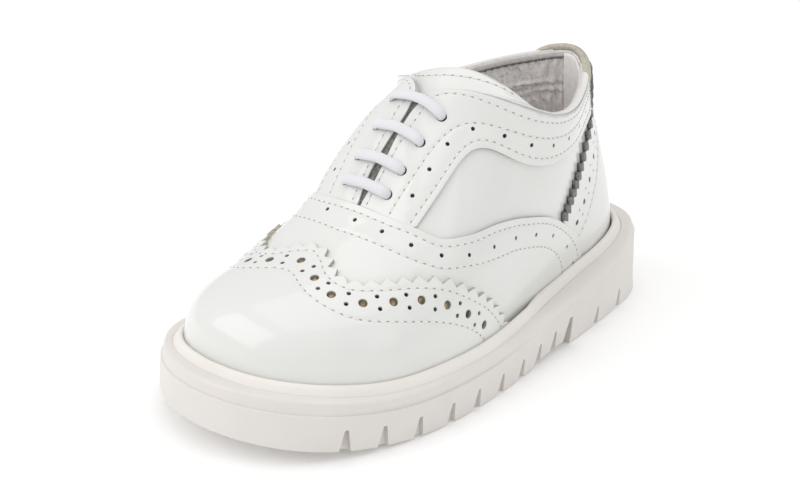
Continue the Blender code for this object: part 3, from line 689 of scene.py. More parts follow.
@dataclass(frozen=True)
class PatentLeather:
    """White leather under a clear lacquer, with a faint orange-peel and pores."""

    name: str
    colour: Triple = (0.755, 0.76, 0.735)
    shade: Triple = (0.735, 0.74, 0.715)
    roughness: float = 0.4
    coat: float = 0.9
    coat_roughness: float = 0.03
    peel: float = 0.05

    def make(self) -> Material:
        """Build the material."""
        n = Nodes(self.name)
        place = n.place()
        cloud = n.noise(place, 45.0, 2.0)
        n.link(n.ramp(cloud, ((0.32, self.shade), (0.68, self.colour))), "Base Color")
        n.link(n.span(n.noise(place, 160.0), self.roughness - 0.05, self.roughness + 0.05), "Roughness")
        n.set(Coat_Weight=self.coat, Coat_Roughness=self.coat_roughness, IOR=1.48)
        soft = n.bump(n.noise(place, 260.0, 2.0), self.peel, 0.0004)
        fine = n.bump(n.noise(place, 2600.0, 2.0), 0.05, 0.00006, soft)
        n.link(fine, "Normal")
        n.tree.links.new(soft, n.shader.inputs["Coat Normal"])
        return n.material


@dataclass(frozen=True)
class RawEdge:
    """Cut edge of leather: pale fibres, beige to olive."""

    name: str
    light: Triple = (0.62, 0.58, 0.50)
    dark: Triple = (0.36, 0.33, 0.26)

    def make(self) -> Material:
        """Build the material."""
        n = Nodes(self.name)
        fibre = n.noise(n.place(), 1900.0, 4.0, 0.65)
        n.link(n.ramp(fibre, ((0.35, self.dark), (0.68, self.light))), "Base Color")
        n.set(Roughness=0.85)
        n.link(n.bump(fibre, 0.5, 0.0003), "Normal")
        return n.material


@dataclass(frozen=True)
class SoleRubber:
    """Moulded rubber, warm white, with a fine satin grain."""

    name: str
    colour: Triple = (0.74, 0.708, 0.68)
    shade: Triple = (0.71, 0.674, 0.64)
    roughness: float = 0.46

    def make(self) -> Material:
        """Build the material."""
        n = Nodes(self.name)
        place = n.place()
        n.link(n.ramp(n.noise(place, 55.0, 4.0), ((0.3, self.shade), (0.7, self.colour))), "Base Color")
        n.link(n.span(n.noise(place, 300.0), self.roughness - 0.07, self.roughness + 0.07), "Roughness")
        n.set(IOR=1.45, Subsurface_Weight=0.12, Subsurface_Radius=(0.8, 0.5, 0.4), Subsurface_Scale=0.0015)
        fine = n.bump(n.noise(place, 1500.0, 3.0), 0.12, 0.0001)
        n.link(n.bump(n.noise(place, 120.0, 2.0), 0.05, 0.0006, fine), "Normal")
        return n.material


@dataclass(frozen=True)
class LiningLeather:
    """Lilac-grey lining leather with upright wrinkles and pores, painted darker in the wrinkles' troughs as
    shade and in the pores as grain.
    """

    name: str
    # Colour on the wrinkles' crests, and painted crease shade in their troughs
    light: Triple = (0.98, 0.945, 0.925)
    dark: Triple = (0.72, 0.675, 0.665)
    wrinkle: float = 0.9

    def make(self) -> Material:
        """Build the material."""
        n = Nodes(self.name)
        upright = n.noise(n.place((1.0, 1.0, 0.5)), 820.0, 5.0, 0.62)
        pores = n.noise(n.place(), 1500.0, 4.0, 0.6)
        both = n.math("ADD", n.math("MULTIPLY", upright, 0.7), n.math("MULTIPLY", pores, 0.3))
        # Painted crease shade: the colour follows the same noise as the wrinkle bump, so troughs come out
        # dark; the pores' darkness is the leather's grain
        n.link(n.ramp(both, ((0.36, self.dark), (0.56, self.light))), "Base Color")
        n.set(Roughness=0.62)
        deep = n.bump(upright, self.wrinkle, 0.0012)
        n.link(n.bump(pores, 0.35, 0.0003, deep), "Normal")
        return n.material


@dataclass(frozen=True)
class LaceCotton:
    """Flat white elastic braid: rows of small stitches in the piece's own UV map."""

    name: str
    colour: Triple = (0.78, 0.78, 0.81)
    shade: Triple = (0.70, 0.70, 0.73)
    slant: float = 0.6

    def make(self) -> Material:
        """Build the material."""
        n = Nodes(self.name)
        uv = n.add("ShaderNodeUVMap", uv_map="weave").outputs["UV"]
        waves = []
        for angle in (self.slant, -self.slant):
            turned = n.add("ShaderNodeMapping", {"Vector": uv, "Rotation": (0.0, 0.0, angle)})
            wave = n.add("ShaderNodeTexWave", {"Vector": turned.outputs["Vector"], "Scale": 1.0,
                                               "Distortion": 0.4})
            waves.append(wave.outputs["Fac"])
        weave = n.math("MULTIPLY", *waves)
        n.link(n.ramp(weave, ((0.0, self.shade), (0.35, self.colour))), "Base Color")
        n.set(Roughness=0.88, Sheen_Weight=0.25)
        n.link(n.bump(weave, 0.25, 0.0002), "Normal")
        return n.material


@dataclass(frozen=True)
class Fleck:
    """Plain small finish with a fine mottle: thread, painted shade in needle holes, punched holes and at the
    foot of folded edges, and backing seen in the punched holes.
    """

    name: str
    light: Triple
    dark: Triple
    roughness: float = 0.8
    scale: float = 1800.0

    def make(self) -> Material:
        """Build the material."""
        n = Nodes(self.name)
        mottle = n.noise(n.place(), self.scale, 3.0)
        n.link(n.ramp(mottle, ((0.35, self.dark), (0.65, self.light))), "Base Color")
        n.set(Roughness=self.roughness)
        n.link(n.bump(mottle, 0.3, 0.0002), "Normal")
        return n.material


class Recipe(Protocol):
    """Anything that can make a finish."""

    def make(self) -> Material:
        """Build the material."""


def made_by(recipe: Recipe) -> Material:
    """Dataclass field of a finish that its recipe makes."""
    return field(default_factory=recipe.make)


@dataclass
class Finishes:
    """Every finish of the shoe, made once."""

    patent: Material = made_by(PatentLeather("white_patent"))
    smooth: Material = made_by(PatentLeather("side_panel_patent", peel=0.03, coat=0.95))
    raw: Material = made_by(RawEdge("raw_edge"))
    sole: Material = made_by(SoleRubber("sole_rubber"))
    bead: Material = made_by(
        SoleRubber("welt_rubber", (0.835, 0.805, 0.765), (0.79, 0.755, 0.71), 0.5))
    # The lining, grip and binding finishes paint shade into the troughs of their wrinkle bump
    lining: Material = made_by(LiningLeather("lining_leather"))
    grip: Material = made_by(
        LiningLeather("heel_grip_suede", (0.93, 0.905, 0.89), (0.86, 0.835, 0.82), 0.1))
    lace: Material = made_by(LaceCotton("lace_elastic"))
    thread: Material = made_by(Fleck("white_thread", (0.86, 0.86, 0.84), (0.76, 0.76, 0.74)))
    # Grey painted shade on the lowest rim ring of a folded panel edge, where the raised edge would cast shade
    seam: Material = made_by(Fleck("painted_seam_shade", (0.42, 0.42, 0.40), (0.30, 0.30, 0.285)))
    binding: Material = made_by(
        LiningLeather("collar_binding", (0.70, 0.67, 0.65), (0.60, 0.57, 0.55), 0.1))
    # Grey painted shade of the needle holes, laid on the leather as flat ovals
    pit: Material = made_by(Fleck("needle_hole_shade", (0.46, 0.45, 0.42), (0.33, 0.32, 0.30)))
    grey_thread: Material = made_by(Fleck("grey_thread", (0.22, 0.21, 0.20), (0.10, 0.10, 0.095)))
    # Near-black painted shade at the bottom of the small punched holes; the bronze below is the wing tip's
    # real backing
    dark: Material = made_by(Fleck("punched_hole_shade", (0.05, 0.05, 0.045), (0.02, 0.02, 0.02)))
    bronze: Material = made_by(
        Fleck("bronze_backing", (0.60, 0.47, 0.29), (0.16, 0.12, 0.07), 0.45, 700.0))
    slate: Material = made_by(
        Fleck("slate_backing", (0.24, 0.24, 0.225), (0.11, 0.11, 0.10), 0.6, 1400.0))


class HoleBottom(Enum):
    """What shows at the bottom of a punched hole: near-black painted shade in most, a bronze backing in the
    wing tip's large ones.
    """

    HOLE_SHADE = 0
    BRONZE = 1


class PanelFace(Enum):
    """Which of a panel's three finishes a face has: leather, cut edge and the painted shade at the foot of a
    folded edge.
    """

    LEATHER = 0
    CUT = 1
    # Painted shade on the lowest rim ring of a folded edge
    PAINTED_SHADE = 2


@dataclass(frozen=True)
class Hole:
    """A punched hole at a place on the form."""

    u: float
    v: float
    radius: float
    # Holes not marked bronze show a disc of near-black painted shade
    backing: HoleBottom = HoleBottom.HOLE_SHADE


@dataclass(frozen=True)
class Plug:
    """Disc at the bottom of one punched hole, of painted shade unless it is the bronze backing of a large
    wing-tip hole.
    """

    place: Array
    normal: Array
    radius: float
    kind: HoleBottom


@dataclass(frozen=True)
class Trough:
    """A soft trough along a line of a panel, as narrow as a stitched seam unless it says otherwise."""

    line: Array
    depth: float = 0.14
    width: float = 0.6


@dataclass
class Panel:
    """One leather piece of the upper, cut from the flat pattern and laid on the form.

    The sheet is the form moved out by a height; the height sinks along each seam as a soft trough,
    depth times exp(-(distance / width) squared). The rim rolls over by a small round, whose rings lie
    out and down from the face by the shares of the roll that rim_bends gives.
    """

    name: str
    node: str
    chart: Chart
    loop: Array
    low: float
    high: float
    holes: list[Hole]
    troughs: list[Trough]
    closed: bool = False
    raw: Array | None = None
    spacing: float = 0.9
    roll: float = 0.22
    rim_bends: tuple[Span, ...] = ((0.55, 0.12), (0.92, 0.45), (1.0, 1.0))
    narrow_seam: float = 1.2
    seam_clear: float = 0.24
    seam_rows: tuple[float, ...] = (-1.1, -0.7, -0.35, 0.0, 0.35, 0.7, 1.1)

    def height(self, uv: Array) -> Array:
        """Height of the sheet above the form."""
        flat = self.chart.flat(uv)
        high = np.full(len(uv), self.high)
        for trough in self.troughs:
            gap = line_distance(flat, self.chart.flat(trough.line))
            high -= trough.depth * np.exp(-(gap / trough.width) ** 2)
        return high

    def top(self, uv: Array) -> Array:
        """Outer face of the sheet."""
        return self.chart.point(uv, self.height(uv), self.closed)

    def normals(self, uv: Array) -> Array:
        """Normals of the outer face, by differences in the pattern."""
        e = 0.05
        flat = self.chart.flat(uv)
        steps = []
        for shift in ((e, 0.0), (-e, 0.0), (0.0, e), (0.0, -e)):
            steps.append(self.top(self.chart.lift(flat + np.array(shift))))
        return unit(np.cross(steps[0] - steps[1], steps[2] - steps[3]))

    def circles(self) -> list[Array]:
        """Loops of the holes in the pattern, each a true circle on the form."""
        loops = []
        turn = turns(20)
        ring = np.stack([np.cos(turn), np.sin(turn)], -1)
        e = 0.2
        for hole in self.holes:
            centre = self.chart.flat(np.array([hole.u, hole.v]))
            places = centre + e * np.array([[1, 0], [-1, 0], [0, 1], [0, -1]])
            p = self.chart.point(self.chart.lift(places), self.high, self.closed)
            steps = np.stack([p[0] - p[1], p[2] - p[3]]) / (2.0 * e)
            size, axes = np.linalg.eigh(steps @ steps.T)
            stretch = axes @ np.diag(1.0 / np.sqrt(np.maximum(size, 1e-3))) @ axes.T
            loops.append(centre + hole.radius * ring @ stretch)
        return loops

    def seam_points(self) -> list[Array]:
        """Rows of pattern points along each narrow seam, so that its trough has enough vertices."""
        rows = []
        for trough in self.troughs:
            if trough.width < self.narrow_seam:
                line = self.chart.flat(self.chart.resampled(trough.line, 0.8))
                ahead = unit(np.gradient(line, axis=0))
                left = np.stack([-ahead[:, 1], ahead[:, 0]], -1)
                rows += [line + left * distance for distance in self.seam_rows]
        return rows

    def lattice(self, border: Array) -> Array:
        """Points of a triangular lattice over the border's box."""
        low, high = border.min(0), border.max(0)
        step = self.spacing
        x, y = np.meshgrid(np.arange(low[0], high[0], step), np.arange(low[1], high[1], step * 0.87))
        x = x + (np.arange(len(x)) % 2)[:, None] * step / 2.0
        return np.stack([x.ravel(), y.ravel()], -1)

    def triangles(self) -> tuple[Array, Array, Array]:
        """Cut the pattern into triangles.

        Returns:
            The (u, v) rows, the triangles, and for each boundary vertex its kind of edge.
        """
        border = self.chart.flat(self.loop)
        rings = [border, *self.circles()]
        fixed = np.concatenate(rings)
        ring_of = np.concatenate([np.full(len(r), i) for i, r in enumerate(rings)])
        starts = np.cumsum([0] + [len(r) for r in rings])
        edges = [(int(a + i), int(a + (i + 1) % (b - a)))
                 for a, b in zip(starts[:-1], starts[1:]) for i in range(b - a)]
        seams = self.seam_points()
        clear = [self.seam_clear] * len(seams) + [0.55 * self.spacing]
        kept = fixed
        for extra, near in zip([*seams, self.lattice(border)], clear):
            extra = extra[inside(extra, border)]
            for ring in rings[1:]:
                middle = ring.mean(0)
                extra = extra[~inside(extra, middle + (ring - middle) * 1.12)]
            kept = np.concatenate([kept, extra[self.clear_of(extra, kept, near)]])
        out = delaunay_2d_cdt([Vector(p) for p in kept.tolist()], edges, [], 0, 1e-7)
        source = np.array([o[0] if o else -1 for o in out[3]])
        faces = np.array([f for f in out[2] if len(f) == 3])
        faces = source[faces[(source[faces] >= 0).all(1)]]
        ring_no = np.concatenate([ring_of, np.full(len(kept) - len(ring_of), -1)])[faces]
        in_hole = (ring_no[:, 0] > 0) & (ring_no == ring_no[:, :1]).all(1)
        faces = faces[inside(kept[faces].mean(1), border) & ~in_hole]
        flags = np.full(len(fixed), Edge.FOLDED.value)
        if self.raw is not None:
            flags[:len(border)] = self.raw
        return self.chart.lift(kept), faces, flags

    @staticmethod
    def clear_of(points: Array, fixed: Array, near: float) -> Array:
        """Whether points keep their distance from fixed ones, by cells of that size."""
        far = 1 << 20
        taken = np.floor(fixed / near).astype(np.int64)
        shifts = np.array([(i, j) for i in (-1, 0, 1) for j in (-1, 0, 1)])
        cells = (taken[:, None] + shifts).reshape(-1, 2)
        mine = np.floor(points / near).astype(np.int64)
        return ~np.isin(mine[:, 0] * far + mine[:, 1], cells[:, 0] * far + cells[:, 1])

    def build(self, use: Finishes) -> bpy.types.Object:
        """Make the panel: outer face, rolled rim and back, as one closed mesh.

        Args:
            use: Finishes of the face, of raw edges and of the painted shade on the lowest part of a folded
                edge.

        Returns:
            The panel's object.
        """
        uv, faces, flags = self.triangles()
        used, faces = np.unique(faces, return_inverse=True)
        faces = faces.reshape(-1, 3)
        uv = uv[used]
        flag = np.where(used < len(flags), flags[np.minimum(used, len(flags) - 1)], Edge.FOLDED.value)
        top, normal = self.top(uv), self.normals(uv)
        back = self.chart.point(uv, self.low, self.closed)
        count = len(uv)
        pairs = np.concatenate([faces[:, [0, 1]], faces[:, [1, 2]], faces[:, [2, 0]]])
        code = pairs[:, 0] * count + pairs[:, 1]
        rim = pairs[~np.isin(code, pairs[:, 1] * count + pairs[:, 0])]
        run = unit(top[rim[:, 1]] - top[rim[:, 0]])
        away = np.zeros((count, 3))
        for end in (0, 1):
            np.add.at(away, rim[:, end], np.cross(run, normal[rim[:, end]]))
        edge = np.unique(rim)
        away = unit(away)[edge]
        place = np.full(count, -1)
        place[edge] = np.arange(len(edge))
        points, normals = [top], [normal]
        for out, down in self.rim_bends:
            points.append(top[edge] + away * self.roll * out - normal[edge] * self.roll * down)
            normals.append(away * out + normal[edge] * (1.0 - down))
        points.append(back[edge] + away * self.roll)
        normals.append(away)
        rings = [edge] + [count + i * len(edge) + np.arange(len(edge)) for i in range(len(points) - 1)]
        body = np.setdiff1d(np.arange(count), edge)
        under = np.empty(count, int)
        under[edge] = rings[-1]
        under[body] = rings[-1][-1] + 1 + np.arange(len(body))
        points.append(back[body])
        normals.append(-normal[body])
        rows = faces.tolist() + under[faces][:, ::-1].tolist()
        kinds = [np.full(2 * len(faces), PanelFace.LEATHER.value)]
        raw = (flag[rim] == Edge.RAW.value).all(1)
        a, b = place[rim[:, 0]], place[rim[:, 1]]
        for step, (near, below) in enumerate(zip(rings[:-1], rings[1:])):
            rows += np.stack([near[b], near[a], below[a], below[b]], -1).tolist()
            # The lowest rim ring of a folded edge is painted grey as shade
            plain = PanelFace.PAINTED_SHADE if below is rings[-1] else PanelFace.LEATHER
            kinds.append(np.where(raw & (step > 0), PanelFace.CUT.value, plain.value))
        return new_piece(self.name, np.concatenate(points), rows, [use.patent, use.raw, use.seam], self.node,
                         [self.node], np.concatenate(kinds), np.concatenate(normals))


@dataclass
class StitchRun:
    """A row of stitches along a line on a panel or on any path."""

    path: Array
    normal: Array
    pitch: float = 2.2
    length: float = 1.35
    radius: float = 0.2
    flatness: float = 0.8
    needle_half_length: float = 0.40
    needle_half_width: float = 0.17
    needle_top: float = 0.05
    needle_foot: float = 0.15

    def axes(self, places: Array) -> tuple[Array, Array, Array, Array]:
        """Centre, run, side and normal at places along the path."""
        run = run_length(self.path)

        def read(rows: Array, where: Array) -> Array:
            """Rows of the path read off at places along it."""
            return np.stack([np.interp(where, run, rows[:, k]) for k in range(3)], -1)

        up = unit(read(self.normal, places))
        ahead = read(self.path, places + 0.2) - read(self.path, places - 0.2)
        ahead = unit(ahead - up * (ahead * up).sum(-1, keepdims=True))
        return read(self.path, places), ahead, np.cross(up, ahead), up

    def threads(self, where: Array) -> tuple[Array, list]:
        """Thread bumps: flat ovals whose radius along them is the root of 1 - t to the fourth."""
        rings, sides = 5, 6
        spread = np.linspace(-1.0, 1.0, rings)
        swell = np.sqrt(np.maximum(1.0 - spread ** 4, 0.03))[:, None] * self.radius
        angle = turns(sides)
        spot, ahead, side, up = (part[:, None, None] for part in self.axes(where))
        points = (spot + ahead * (spread * self.length / 2.0)[None, :, None, None]
                  + side * (swell * np.cos(angle))[None, :, :, None]
                  + up * (swell * np.sin(angle))[None, :, :, None] * self.flatness)
        one = grid_faces(rings, sides, False, True)[:, ::-1]
        caps = np.array([range(sides), range(rings * sides - 1, (rings - 1) * sides - 1, -1)])
        jump = np.arange(len(where))[:, None, None] * (rings * sides)
        faces = (one + jump).reshape(-1, 4).tolist() + (caps + jump).reshape(-1, sides).tolist()
        return points.reshape(-1, 3), faces

    def needle_holes(self, where: Array) -> tuple[Array, list]:
        """A small grey oval of painted shade where the needle went through, before the first stitch and after
        each one.
        """
        between = np.concatenate([where[:1] - self.pitch / 2, where + self.pitch / 2])
        spot, ahead, side, up = self.axes(between)
        turn = turns(8)
        rims = (spot[:, None] + ahead[:, None] * (np.cos(turn) * self.needle_half_length)[None, :, None]
                + side[:, None] * (np.sin(turn) * self.needle_half_width)[None, :, None])
        return coins(rims, up * self.needle_top, up * self.needle_foot)

    def meshes(self) -> tuple[Array, list, Array]:
        """Threads along the path, with a needle hole between each two.

        Returns:
            Vertices, faces and the finish of each face, 0 for thread and 1 for the painted shade of a needle
            hole.
        """
        length = run_length(self.path)[-1]
        count = max(2, int(length / self.pitch))
        where = (np.arange(count) + 0.5) * length / count
        parts = [self.threads(where), self.needle_holes(where)]
        points, faces = joined(parts)
        return points, faces, np.repeat([0, 1], [len(rows) for _, rows in parts])


def stitch_piece(name: str, slot: str, runs: Sequence[StitchRun],
                 finishes: Sequence[Material]) -> bpy.types.Object:
    """All the stitch rows of one panel as one piece."""
    meshes = [run.meshes() for run in runs]
    points, faces = joined([(p, f) for p, f, _ in meshes])
    return new_piece(name, points, faces, finishes, slot, (), np.concatenate([k for _, _, k in meshes]))


# Lines of the outer side as (station, share of height), read from the photograph and rounded
WING_STITCH = (
    (0.365, 1.0), (0.353, 0.93), (0.338, 0.87), (0.328, 0.79), (0.328, 0.73), (0.34, 0.65), (0.36, 0.595),
    (0.395, 0.52), (0.435, 0.44), (0.475, 0.335), (0.515, 0.21), (0.545, 0.135), (0.6, 0.0),
)
WING_INNER_STITCH = (
    (0.302, 1.0), (0.297, 0.94), (0.289, 0.89), (0.28, 0.81), (0.277, 0.715), (0.282, 0.625), (0.303, 0.5),
    (0.325, 0.44), (0.35, 0.395), (0.385, 0.335), (0.43, 0.26), (0.495, 0.13), (0.553, 0.0),
)
WING_HOLES = (
    (0.335, 1.0), (0.313, 0.85), (0.305, 0.695), (0.335, 0.555), (0.38, 0.47), (0.425, 0.39),
    (0.465, 0.285), (0.5, 0.18), (0.535, 0.09),
)
VAMP_STITCH = (
    (0.465, 1.0), (0.466, 0.89), (0.471, 0.77), (0.48, 0.665), (0.491, 0.56), (0.505, 0.485), (0.525, 0.43),
    (0.55, 0.38), (0.6, 0.335), (0.65, 0.34), (0.7, 0.385), (0.74, 0.395), (0.775, 0.345), (0.81, 0.235),
    (0.83, 0.125), (0.835, 0.0),
)
VAMP_INNER_STITCH = (
    (0.426, 1.0), (0.43, 0.88), (0.437, 0.75), (0.454, 0.585), (0.47, 0.495), (0.49, 0.415), (0.525, 0.335),
    (0.565, 0.275), (0.62, 0.247), (0.685, 0.27), (0.73, 0.275), (0.76, 0.23), (0.783, 0.145), (0.796, 0.0),
)
VAMP_HOLES = (
    (0.495, 0.47), (0.535, 0.36), (0.59, 0.295), (0.655, 0.3), (0.715, 0.34), (0.76, 0.315), (0.8, 0.2),
    (0.82, 0.07),
)
VAMP_TOP_HOLES_OUTER = (
    (0.453, 0.965), (0.457, 0.8), (0.469, 0.63),
)
VAMP_TOP_HOLES_INNER = (
    (0.457, 0.875), (0.473, 0.63),
)
BAND_EDGE = (
    (0.48, 0.675), (0.525, 0.66), (0.57, 0.646), (0.6, 0.648), (0.64, 0.657), (0.675, 0.674), (0.74, 0.716),
    (0.785, 0.748), (0.825, 0.776), (0.87, 0.8), (0.925, 0.815), (0.95, 0.82),
)
BAND_STITCH = (
    (0.48, 0.71), (0.53, 0.687), (0.56, 0.674), (0.595, 0.674), (0.635, 0.689), (0.665, 0.709),
    (0.72, 0.74), (0.79, 0.784), (0.825, 0.808), (0.87, 0.832), (0.925, 0.845),
)
BAND_INNER_STITCH = (
    (0.475, 0.83), (0.51, 0.82), (0.535, 0.807), (0.565, 0.787), (0.595, 0.772), (0.615, 0.769),
    (0.637, 0.776), (0.66, 0.797), (0.69, 0.831), (0.715, 0.849), (0.75, 0.865), (0.79, 0.878),
    (0.825, 0.895), (0.87, 0.915), (0.945, 0.925),
)
BAND_HOLES = (
    (0.515, 0.765), (0.548, 0.75), (0.583, 0.738), (0.63, 0.743), (0.678, 0.778), (0.716, 0.803),
    (0.76, 0.827), (0.8, 0.85), (0.838, 0.872), (0.877, 0.885), (0.915, 0.89),
)
TOPLINE_STITCH = (
    (0.478, 0.972), (0.513, 0.972), (0.545, 0.962), (0.57, 0.95), (0.588, 0.95), (0.602, 0.968),
    (0.623, 0.972), (0.643, 0.958), (0.665, 0.946), (0.71, 0.94), (0.735, 0.946), (0.78, 0.952),
    (0.835, 0.96), (0.9, 0.962), (0.954, 0.962),
)
COUNTER_EDGE = (
    (0.79, 0.37), (0.816, 0.49), (0.85, 0.623), (0.892, 0.726), (0.925, 0.81), (0.947, 0.9), (0.962, 1.0),
)
COUNTER_STITCH = (
    (0.835, 0.215), (0.852, 0.285), (0.868, 0.355), (0.894, 0.48), (0.918, 0.6), (0.944, 0.74),
    (0.966, 0.88), (0.978, 1.0),
)
COUNTER_HOLES = (
    (0.827, 0.305), (0.848, 0.4), (0.87, 0.495), (0.894, 0.59), (0.917, 0.685), (0.938, 0.78),
    (0.956, 0.875),
)

# Eyelets from the top: station, share of height on the outer side and on the inner side
EYELETS = (
    (0.600, 0.850, 0.895), (0.562, 0.857, 0.897), (0.529, 0.878, 0.892), (0.500, 0.888, 0.893),
)

# Tab at the back: place from the outer to the inner end, and millimetres above the collar
TAB_LIFT = (
    (-1.0, 0.1), (-0.8, 0.4), (-0.4, 0.7), (0.0, 1.0), (0.4, 1.3), (0.75, 1.2), (0.92, 0.7), (1.0, 0.0),
)

# Opening between the facings: station, and millimetres from the middle edge to the facing's edge
SLIT_INSET = (
    (0.478, 0.0), (0.51, 0.55), (0.56, 0.6), (0.60, 0.5), (0.62, 0.0),
)

# Top edge of the tongue from its inner to its outer corner: share of the half width, height
TONGUE_EDGE = (
    (-1.0, 69.2), (-0.5, 73.2), (0.0, 77.4), (0.5, 77.5), (0.8, 72.7), (1.0, 67.0),
)

# Soft folds of the side panel: station, share of height, tilt, half width, half height, millimetres out
SIDE_FOLDS = (
    (0.70, 0.50, 0.25, 0.035, 0.20, -0.22), (0.77, 0.55, 0.30, 0.025, 0.18, 0.14),
    (0.60, 0.48, 0.15, 0.04, 0.16, 0.12),
)

# Creases across the lining: station, share of height, tilt, half length
LEVEL_CREASES = (
    (1.065, 0.800, 0.10, 0.05), (1.085, 0.776, -0.15, 0.04), (1.055, 0.752, 0.25, 0.035),
    (1.110, 0.790, 0.20, 0.03), (1.10, 0.735, 0.05, 0.05),
)

# Creases up the lining: station, share of height, lean, half height
UPRIGHT_CREASES = (
    (1.028, 0.80, -0.05, 0.12), (1.036, 0.70, 0.10, 0.10), (1.050, 0.69, 0.12, 0.08),
    (1.066, 0.70, 0.08, 0.06), (1.045, 0.88, -0.06, 0.06), (1.09, 0.86, 0.03, 0.06),
)


@dataclass
class LeatherWork:
    """What the leather panels share: edges, seams, pairs of holes and the discs behind the holes, painted
    shade except the bronze backing of the wing tip's large holes.
    """

    chart: Chart
    use: Finishes
    plugs: list[Plug]
    level: float = GAP + LEATHER
    loop_step: float = 0.8
    foot_trim: float = 0.995
    stitch_trim: float = 0.985
    stitch_lift: float = 0.02
    small_hole: float = 0.75
    pair_gap: float = 1.5
    # Height of the discs of painted shade under the small holes
    shade_disc_height: float = GAP + 0.12
    plug_margin: float = 0.15
    vamp_margin: float = 1.6
    vamp_clear: float = 0.35
    beside_vamp: float = 0.004

    def small_pair(self, a: Sequence[float], b: Sequence[float], radius: float) -> list[Hole]:
        """Two small holes beside the middle of two large ones, across their line."""
        ends = self.chart.flat(np.array([a, b]))
        middle = ends.mean(0)
        left = self.chart.left(self.chart.lift(middle), unit(ends[1] - ends[0]))
        places = self.chart.lift(middle + np.outer([self.pair_gap, -self.pair_gap], left))
        return [Hole(float(u), float(v), radius) for u, v in places]

    def foot_line(self, a: float, b: float, v: float) -> Array:
        """Line along the foot of the wall from one station to another."""
        u = np.linspace(a, b, max(3, int(abs(b - a) * 150.0)))
        return np.stack([u, np.full_like(u, v)], -1)

    def above_foot(self, line: Array) -> Array:
        """A line across the ridge without its ends at the foot of the wall."""
        return line[np.abs(line[:, 1]) < self.foot_trim]

    def even_loop(self, loop: Array) -> Array:
        """A closed outline with points at nearly even steps."""
        return self.chart.resampled(np.concatenate([loop, loop[:1]]), self.loop_step)[:-1]

    def vamp_edge(self) -> Array:
        """Raised wavy edge of the vamp, beyond its stitch line."""
        return self.chart.sideways(across_ridge(VAMP_STITCH), self.vamp_margin)

    def vamp_neighbour(self) -> Array:
        """Line on the outer side that stays just clear of the vamp's edge."""
        edge = self.vamp_edge()
        return self.chart.sideways(edge[edge[:, 1] >= 0.0], self.vamp_clear)

    def finish(self, panel: Panel, stitches: str, lines: Sequence[Array], floor: float) -> None:
        """Build a panel, remember the disc that shows in each of its holes, painted shade unless bronze, and
        sew along its lines.

        Args:
            panel: The panel.
            stitches: Name of the piece that holds its stitches.
            lines: Stitch lines.
            floor: Height of the hole discs above the form.
        """
        panel.build(self.use)
        for hole in panel.holes:
            place = self.chart.point(np.array([hole.u, hole.v]), floor, panel.closed)
            u = hole.u if hole.v >= 0 else 2.0 - hole.u
            normal = self.chart.form.normal(u, 1.0 - abs(hole.v), panel.closed)
            self.plugs.append(Plug(place, normal, hole.radius + self.plug_margin, hole.backing))
        runs = []
        for line in lines:
            line = self.chart.resampled(line, 0.5)
            line = line[np.abs(line[:, 1]) < self.stitch_trim]
            normal = panel.normals(line)
            runs.append(StitchRun(panel.top(line) + normal * self.stitch_lift, normal))
        stitch_piece(stitches, panel.node, runs, [self.use.thread, self.use.pit])


@dataclass
class WingTip(LeatherWork):
    """Wing tip: pinked edge, two stitch lines and a row of large holes with small pairs between."""

    edge_margin: float = 1.1
    tooth_pitch: float = 3.8
    tooth_depth: float = 1.8
    large_hole: float = 1.3
    tip_station: float = 0.012
    lap_gap: float = 0.03
    floor_gap: float = 0.1

    def pinked(self, line: Array) -> Array:
        """Zigzag edge: every second point of the line moved out by the depth of a tooth."""
        even = self.chart.resampled(line, self.tooth_pitch / 2.0)
        flat = self.chart.flat(even)
        out = np.where(np.arange(len(flat)) % 2 == 1, self.tooth_depth, 0.0)[:, None]
        teeth = flat + self.chart.left(even, unit(np.gradient(flat, axis=0))) * out
        parts = [teeth[:-1] + (teeth[1:] - teeth[:-1]) * t for t in (0.0, 1 / 3, 2 / 3)]
        mixed = np.stack(parts, 1).reshape(-1, 2)
        return self.chart.lift(np.concatenate([mixed, teeth[-1:]]))

    def holes(self) -> list[Hole]:
        """Large holes of both sides, then the small pairs between them."""
        rows = [(u, 1.0 - s) for u, s in WING_HOLES]
        both = rows + [(u, -v) for u, v in rows[1:]]
        holes = [Hole(u, v, self.large_hole, HoleBottom.BRONZE) for u, v in both]
        for (ua, va), (ub, vb) in zip(rows[:-1], rows[1:]):
            for side in Side:
                holes += self.small_pair((ua, side.value * va), (ub, side.value * vb), self.small_hole)
        return holes

    def build(self) -> None:
        """Cut, build and sew the wing tip."""
        lines = [across_ridge(WING_STITCH), across_ridge(WING_INNER_STITCH)]
        edge = self.above_foot(self.pinked(self.chart.sideways(lines[0], self.edge_margin)))
        end, tip = float(edge[-1, 0]), self.tip_station
        bow = np.stack([np.full(5, tip), np.linspace(1.0, -1.0, 5)], -1)
        loop = np.concatenate([edge, self.foot_line(end, tip, 1.0), bow[1:-1],
                               self.foot_line(tip, end, -1.0)])
        raw = np.where(np.arange(len(loop)) < len(edge), Edge.RAW.value, Edge.FOLDED.value)
        panel = Panel("wing_tip", "toe_cap", self.chart, loop[::-1], self.level + self.lap_gap,
                      2.0 * self.level, self.holes(), [Trough(line) for line in lines], True, raw[::-1])
        self.finish(panel, "wing_tip_stitches", lines, self.level + self.floor_gap)


